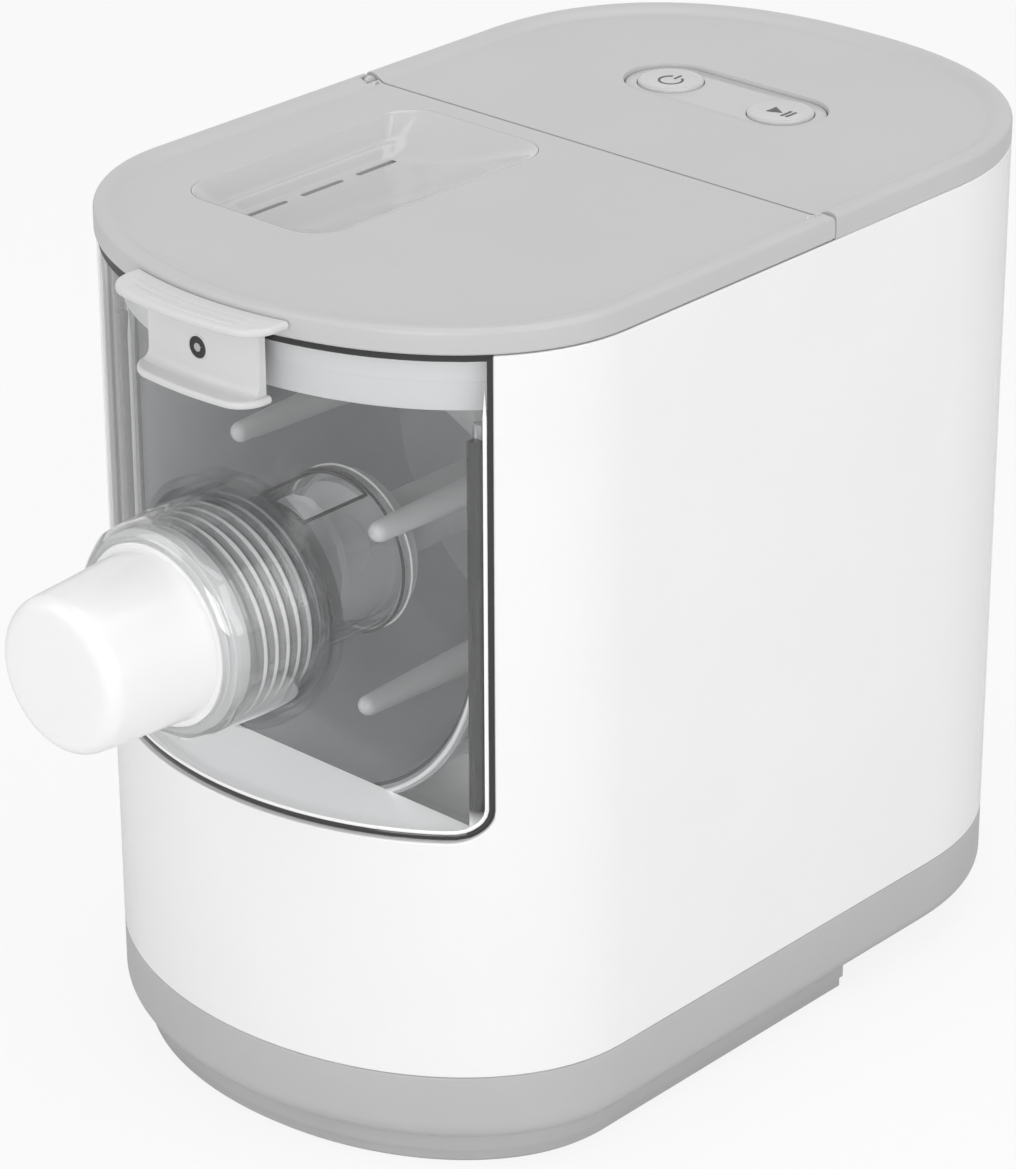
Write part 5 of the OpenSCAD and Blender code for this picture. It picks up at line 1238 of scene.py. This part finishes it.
def clear_nut():
    """Turned nut: radius eased towards a 12-sided polygon outside, waving as a thread inside."""
    steps, rows = 144, 60
    turn = np.linspace(0, 2 * np.pi, steps, endpoint=False)
    outer = [(28.35, -119.6), (28.8, -119.0), (30.6, -119.0), (31.1, -119.5), (31.2, -120.6),
             (31.0, -125.5), (30.7, -131.0), (30.5, -136.0), (30.1, -141.0), (29.8, -146.0),
             (29.6, -149.0), (29.3, -149.6), (28.2, -150.8), (26.9, -152.1), (26.4, -152.3),
             (25.6, -152.3), (25.2, -151.9), (25.2, -150.1), (25.5, -149.85), (27.7, -149.85),
             (27.95, -149.6), (27.95, -144.4)]
    thread_y = np.linspace(-144.0, -120.2, rows)
    r, y = np.array(outer).T
    count = len(outer) + rows
    radius = np.broadcast_to(np.concatenate([r, np.full(rows, 27.95)]), (steps, count)).copy()
    depth = np.concatenate([y, thread_y])
    share = np.zeros(count)
    share[3:12] = [0.1, 0.3, 0.5, 0.5, 0.5, 0.5, 0.5, 0.5, 0.4]
    radius = np.where(share[None] > 0, facet_radius(radius, turn[:, None], share[None]), radius)
    phase = thread_y[None] / THREAD_PITCH * 2 * np.pi + turn[:, None]
    fade = np.clip((thread_y + 144) / 1.5, 0, 1) * np.clip((-120.4 - thread_y) / 1.5, 0, 1)
    radius[:, len(outer):] = 28.5 - 0.5 * np.clip(0.5 - 1.2 * np.cos(phase), 0, 1) * fade[None]
    shape = Shape().grid(about_axis(radius, depth[None], turn[:, None]), close_u=True,
                         close_v=True)
    return piece("clear_nut", shape, "nut", NUT_CLEAR, ["nut"],
                 centre=(0, -136, 156), crease=28)


def white_cap():
    """Turned push cap: slightly tapered, rounded front, hollow, with a flange at its root."""
    front, front_r, round_r = -186.0, 21.3, 4.5
    nose = [(0.0, front), (10.0, front), (front_r - round_r, front)]
    nose += [(front_r - round_r + round_r * sin(t), front + round_r * (1 - cos(t)))
             for t in np.linspace(0.2, np.pi / 2, 9)]
    wall = [(21.6, -178.0), (22.0, -170.0), (22.7, -160.0), (23.2, -153.5), (23.35, -152.7)]
    flange = [(23.4, -152.0), (24.9, -152.0), (24.9, -149.9), (25.7, -149.75), (25.5, -149.7),
              (21.6, -149.7)]
    inside = [(21.2, -152.0), (19.3, -183.4), (19.1, -183.8), (18.7, -184.0), (0.0, -184.0)]
    shape = Shape().grid(turned(nose + wall + flange + inside, 120), close_u=True)
    return piece("white_cap", shape, "cap", CAP_WHITE, ["cap"],
                 centre=(0, -168, 156), crease=40)


FINGER_ROOT_Y = -4.0
FINGER_TIP_R = 2.9


def finger_surface(angle, tip_r, root_r, tip_y):
    """Round section carried from a ball tip back to the arm while its radius grows."""
    a = radians(angle)
    tip = np.array([tip_r * cos(a), tip_y + FINGER_TIP_R, AXIS_Z + tip_r * sin(a)])
    root = np.array([root_r * cos(a), FINGER_ROOT_Y, AXIS_Z + root_r * sin(a)])
    ball = np.linspace(-np.pi / 2, 0, 8)
    grow = np.linspace(0.05, 1, 12)
    along = np.concatenate([FINGER_TIP_R * np.sin(ball) / (root[1] - tip[1]), grow])
    size = np.concatenate([FINGER_TIP_R * np.cos(ball), FINGER_TIP_R + 2.3 * grow ** 0.9])
    turn = np.linspace(0, 2 * np.pi, 32, endpoint=False)
    mid = tip[None] + (root - tip)[None] * along[:, None]
    x = mid[None, :, 0] + size[None] * np.cos(turn)[:, None]
    z = mid[None, :, 2] + size[None] * np.sin(turn)[:, None]
    y = np.broadcast_to(mid[None, :, 1], x.shape)
    return np.stack([x, y, z], -1)


def white_paddle():
    """Hub and disc turned about the axis, three arms, three tapered fingers."""
    hub = [(5.85, -80.0), (8.6, -80.0), (9.0, -79.7), (9.0, -79.5), (20.4, -79.5), (21.0, -78.9),
           (21.0, -76.1), (20.4, -75.5), (9.6, -75.5), (9.0, -74.9), (9.0, 0.8), (8.6, 1.2),
           (5.85, 1.2)]
    shape = Shape().grid(turned(hub, 72), close_u=True, close_v=True)
    for angle, tip_r, root_r, tip_y in ((34.6, 27.5, 32.5, -95.0), (154.6, 47, 47, -81.0),
                                        (274.6, 47, 47, -81.0)):
        points = finger_surface(angle, tip_r, root_r, tip_y)
        shape.grid(points, close_u=True)
        end = points[:, -1]
        shape.plate([end[:, [0, 2]]], FINGER_ROOT_Y, axis=1)
        a = radians(angle)
        away, across = np.array([cos(a), sin(a)]), np.array([-sin(a), cos(a)])
        lens = np.radians(np.arange(24) * 15.0)
        loop = np.stack([5.15 * np.sign(np.cos(lens)) * np.abs(np.cos(lens)) ** 0.5,
                         -8.5 + 4.45 * np.sign(np.sin(lens)) * np.abs(np.sin(lens)) ** 0.5], 1)
        reach = np.linspace(7.0, root_r, 9)
        rows = [np.stack([away[0] * d + across[0] * loop[:, 0] * w, loop[:, 1],
                          AXIS_Z + away[1] * d + across[1] * loop[:, 0] * w], -1)
                for d, w in zip(reach, np.linspace(1.0, 0.97, 9))]
        shape.grid(np.stack(rows, 1), close_u=True)
        number = np.arange(24)
        fan = np.stack([number, np.roll(number, -1), np.full(24, 24)], 1)
        for row in (rows[0], rows[-1]):
            shape.take(np.concatenate([row, row.mean(0)[None]]), fan)
    return piece("white_paddle", shape, "drive", FOOD_WHITE, ["paddle"],
                 centre=(0, -40, 156), crease=38)


white_shell()
base_skirt()
plinth_foot()
lid_cover()
water_scoop()
rear_cover()
hinge_knuckles()
pad_plate()
button_cap("power_button_cap", "power_button", -BUTTON_X)
button_cap("start_button_cap", "start_button", BUTTON_X)
raised_print("power_icon", [ring_patch(3.0, 3.7, 120, 420), bar_patch(-0.36, 0.36, 1.6, 4.6)],
             "power_button", -BUTTON_X)
raised_print("start_icon", [bar_patch(-3.4, 0.6, -2.3, 2.3, 0.04), bar_patch(1.6, 2.5, -2.3, 2.3),
                            bar_patch(3.3, 4.2, -2.3, 2.3)], "start_button", BUTTON_X)
clear_window()
window_edges()
clear_trough()
trough_edges()
skirt_band()
grip_handle()
screw_shadow()
clear_barrel()
barrel_edges()
clear_nut()
white_cap()
white_paddle()


# ---- room, lights and camera ----

def floor_finish():
    """White floor that keeps the soft shadow and reads as white paper in the picture."""
    f = Finish("floor_white")
    speck = f.noise(160, 2.0, 0.5)
    base = f.mix(speck, (0.80, 0.80, 0.80, 1), (0.83, 0.83, 0.83, 1))
    paper = f.node("ShaderNodeBsdfPrincipled", {}, {"Base Color": base, "Roughness": 0.9,
                                                   "Specular IOR Level": 0.1})
    glow = f.node("ShaderNodeEmission", {}, {"Color": (1, 1, 1, 1), "Strength": 1.0})
    seen = f.node("ShaderNodeLightPath").out("Is Camera Ray")
    return f.finish(f.blend(seen * 0.86, paper, glow))


def studio():
    """A wide level floor, and a world that is pale for light and white for the eye."""
    s, t = np.meshgrid(np.linspace(-4000, 4000, 41), np.linspace(-4000, 4000, 41), indexing="ij")
    shape = Shape().grid(np.stack([s, t, 0 * s], -1))
    mesh = bpy.data.meshes.new("floor")
    mesh.from_pydata((np.concatenate(shape.points) * MM).tolist(), [], shape.faces)
    ground = bpy.data.objects.new("floor", mesh)
    bpy.context.scene.collection.objects.link(ground)
    mesh.materials.append(floor_finish())

    world = bpy.data.worlds.new("pale_room")
    world.use_nodes = True
    bpy.context.scene.world = world
    tree = world.node_tree
    tree.nodes.clear()
    end = tree.nodes.new("ShaderNodeOutputWorld")
    path = tree.nodes.new("ShaderNodeLightPath")
    seen = path.outputs["Is Camera Ray"]
    for kind in ("Is Transmission Ray", "Is Glossy Ray"):
        most = tree.nodes.new("ShaderNodeMath")
        most.operation = "MAXIMUM"
        tree.links.new(seen, most.inputs[0])
        tree.links.new(path.outputs[kind], most.inputs[1])
        seen = most.outputs[0]
    join = tree.nodes.new("ShaderNodeMixShader")
    tree.links.new(seen, join.inputs[0])
    for socket, strength in ((1, 0.5), (2, 1.0)):
        room = tree.nodes.new("ShaderNodeBackground")
        room.inputs["Strength"].default_value = strength
        room.inputs["Color"].default_value = (1, 1, 1, 1)
        tree.links.new(room.outputs[0], join.inputs[socket])
    tree.links.new(join.outputs[0], end.inputs["Surface"])


def lamp(name, place, aim, size, power):
    """A soft rectangular lamp at a place, turned towards its aim; metres and watts."""
    light = bpy.data.lights.new(name, "AREA")
    light.shape = "RECTANGLE"
    light.size, light.size_y = size
    light.energy = power
    holder = bpy.data.objects.new(name, light)
    bpy.context.scene.collection.objects.link(holder)
    holder.location = place
    holder.rotation_euler = (Vector(aim) - Vector(place)).to_track_quat("-Z", "Y").to_euler()
    return holder


def camera():
    """The photograph's viewpoint: direction, roll, distance and focal length as fitted."""
    azimuth, elevation, roll = radians(42.474), radians(25.617), radians(-0.219)
    back = Vector((sin(azimuth) * cos(elevation), -cos(azimuth) * cos(elevation), sin(elevation)))
    right = Vector((cos(azimuth), sin(azimuth), 0))
    up = back.cross(right)
    side = cos(roll) * right + sin(roll) * up
    over = -sin(roll) * right + cos(roll) * up
    lens = bpy.data.cameras.new("camera")
    lens.sensor_fit = "VERTICAL"
    lens.sensor_height = 36.0
    lens.lens = 4514.0 * 36.0 / 1169.0
    lens.clip_start, lens.clip_end = 0.05, 50
    holder = bpy.data.objects.new("camera", lens)
    bpy.context.scene.collection.objects.link(holder)
    turn = Matrix((side, over, back)).transposed().to_4x4()
    holder.matrix_world = Matrix.Translation(Vector((764.0, -852.6, 665.1)) * MM) @ turn
    bpy.context.scene.camera = holder


studio()
lamp("soft_left", (-0.9, -1.3, 1.1), (0, 0, 0.13), (1.2, 1.2), 5)
lamp("soft_right", (1.7, -0.1, 0.9), (0, 0, 0.12), (1.4, 1.4), 8)
lamp("soft_top", (0.2, 0.3, 1.7), (0, 0, 0.1), (1.4, 1.4), 7)
lamp("soft_front", (0.85, -1.7, 0.55), (0, -0.1, 0.16), (1.1, 0.9), 10)
camera()
bpy.context.scene.view_settings.view_transform = "Standard"
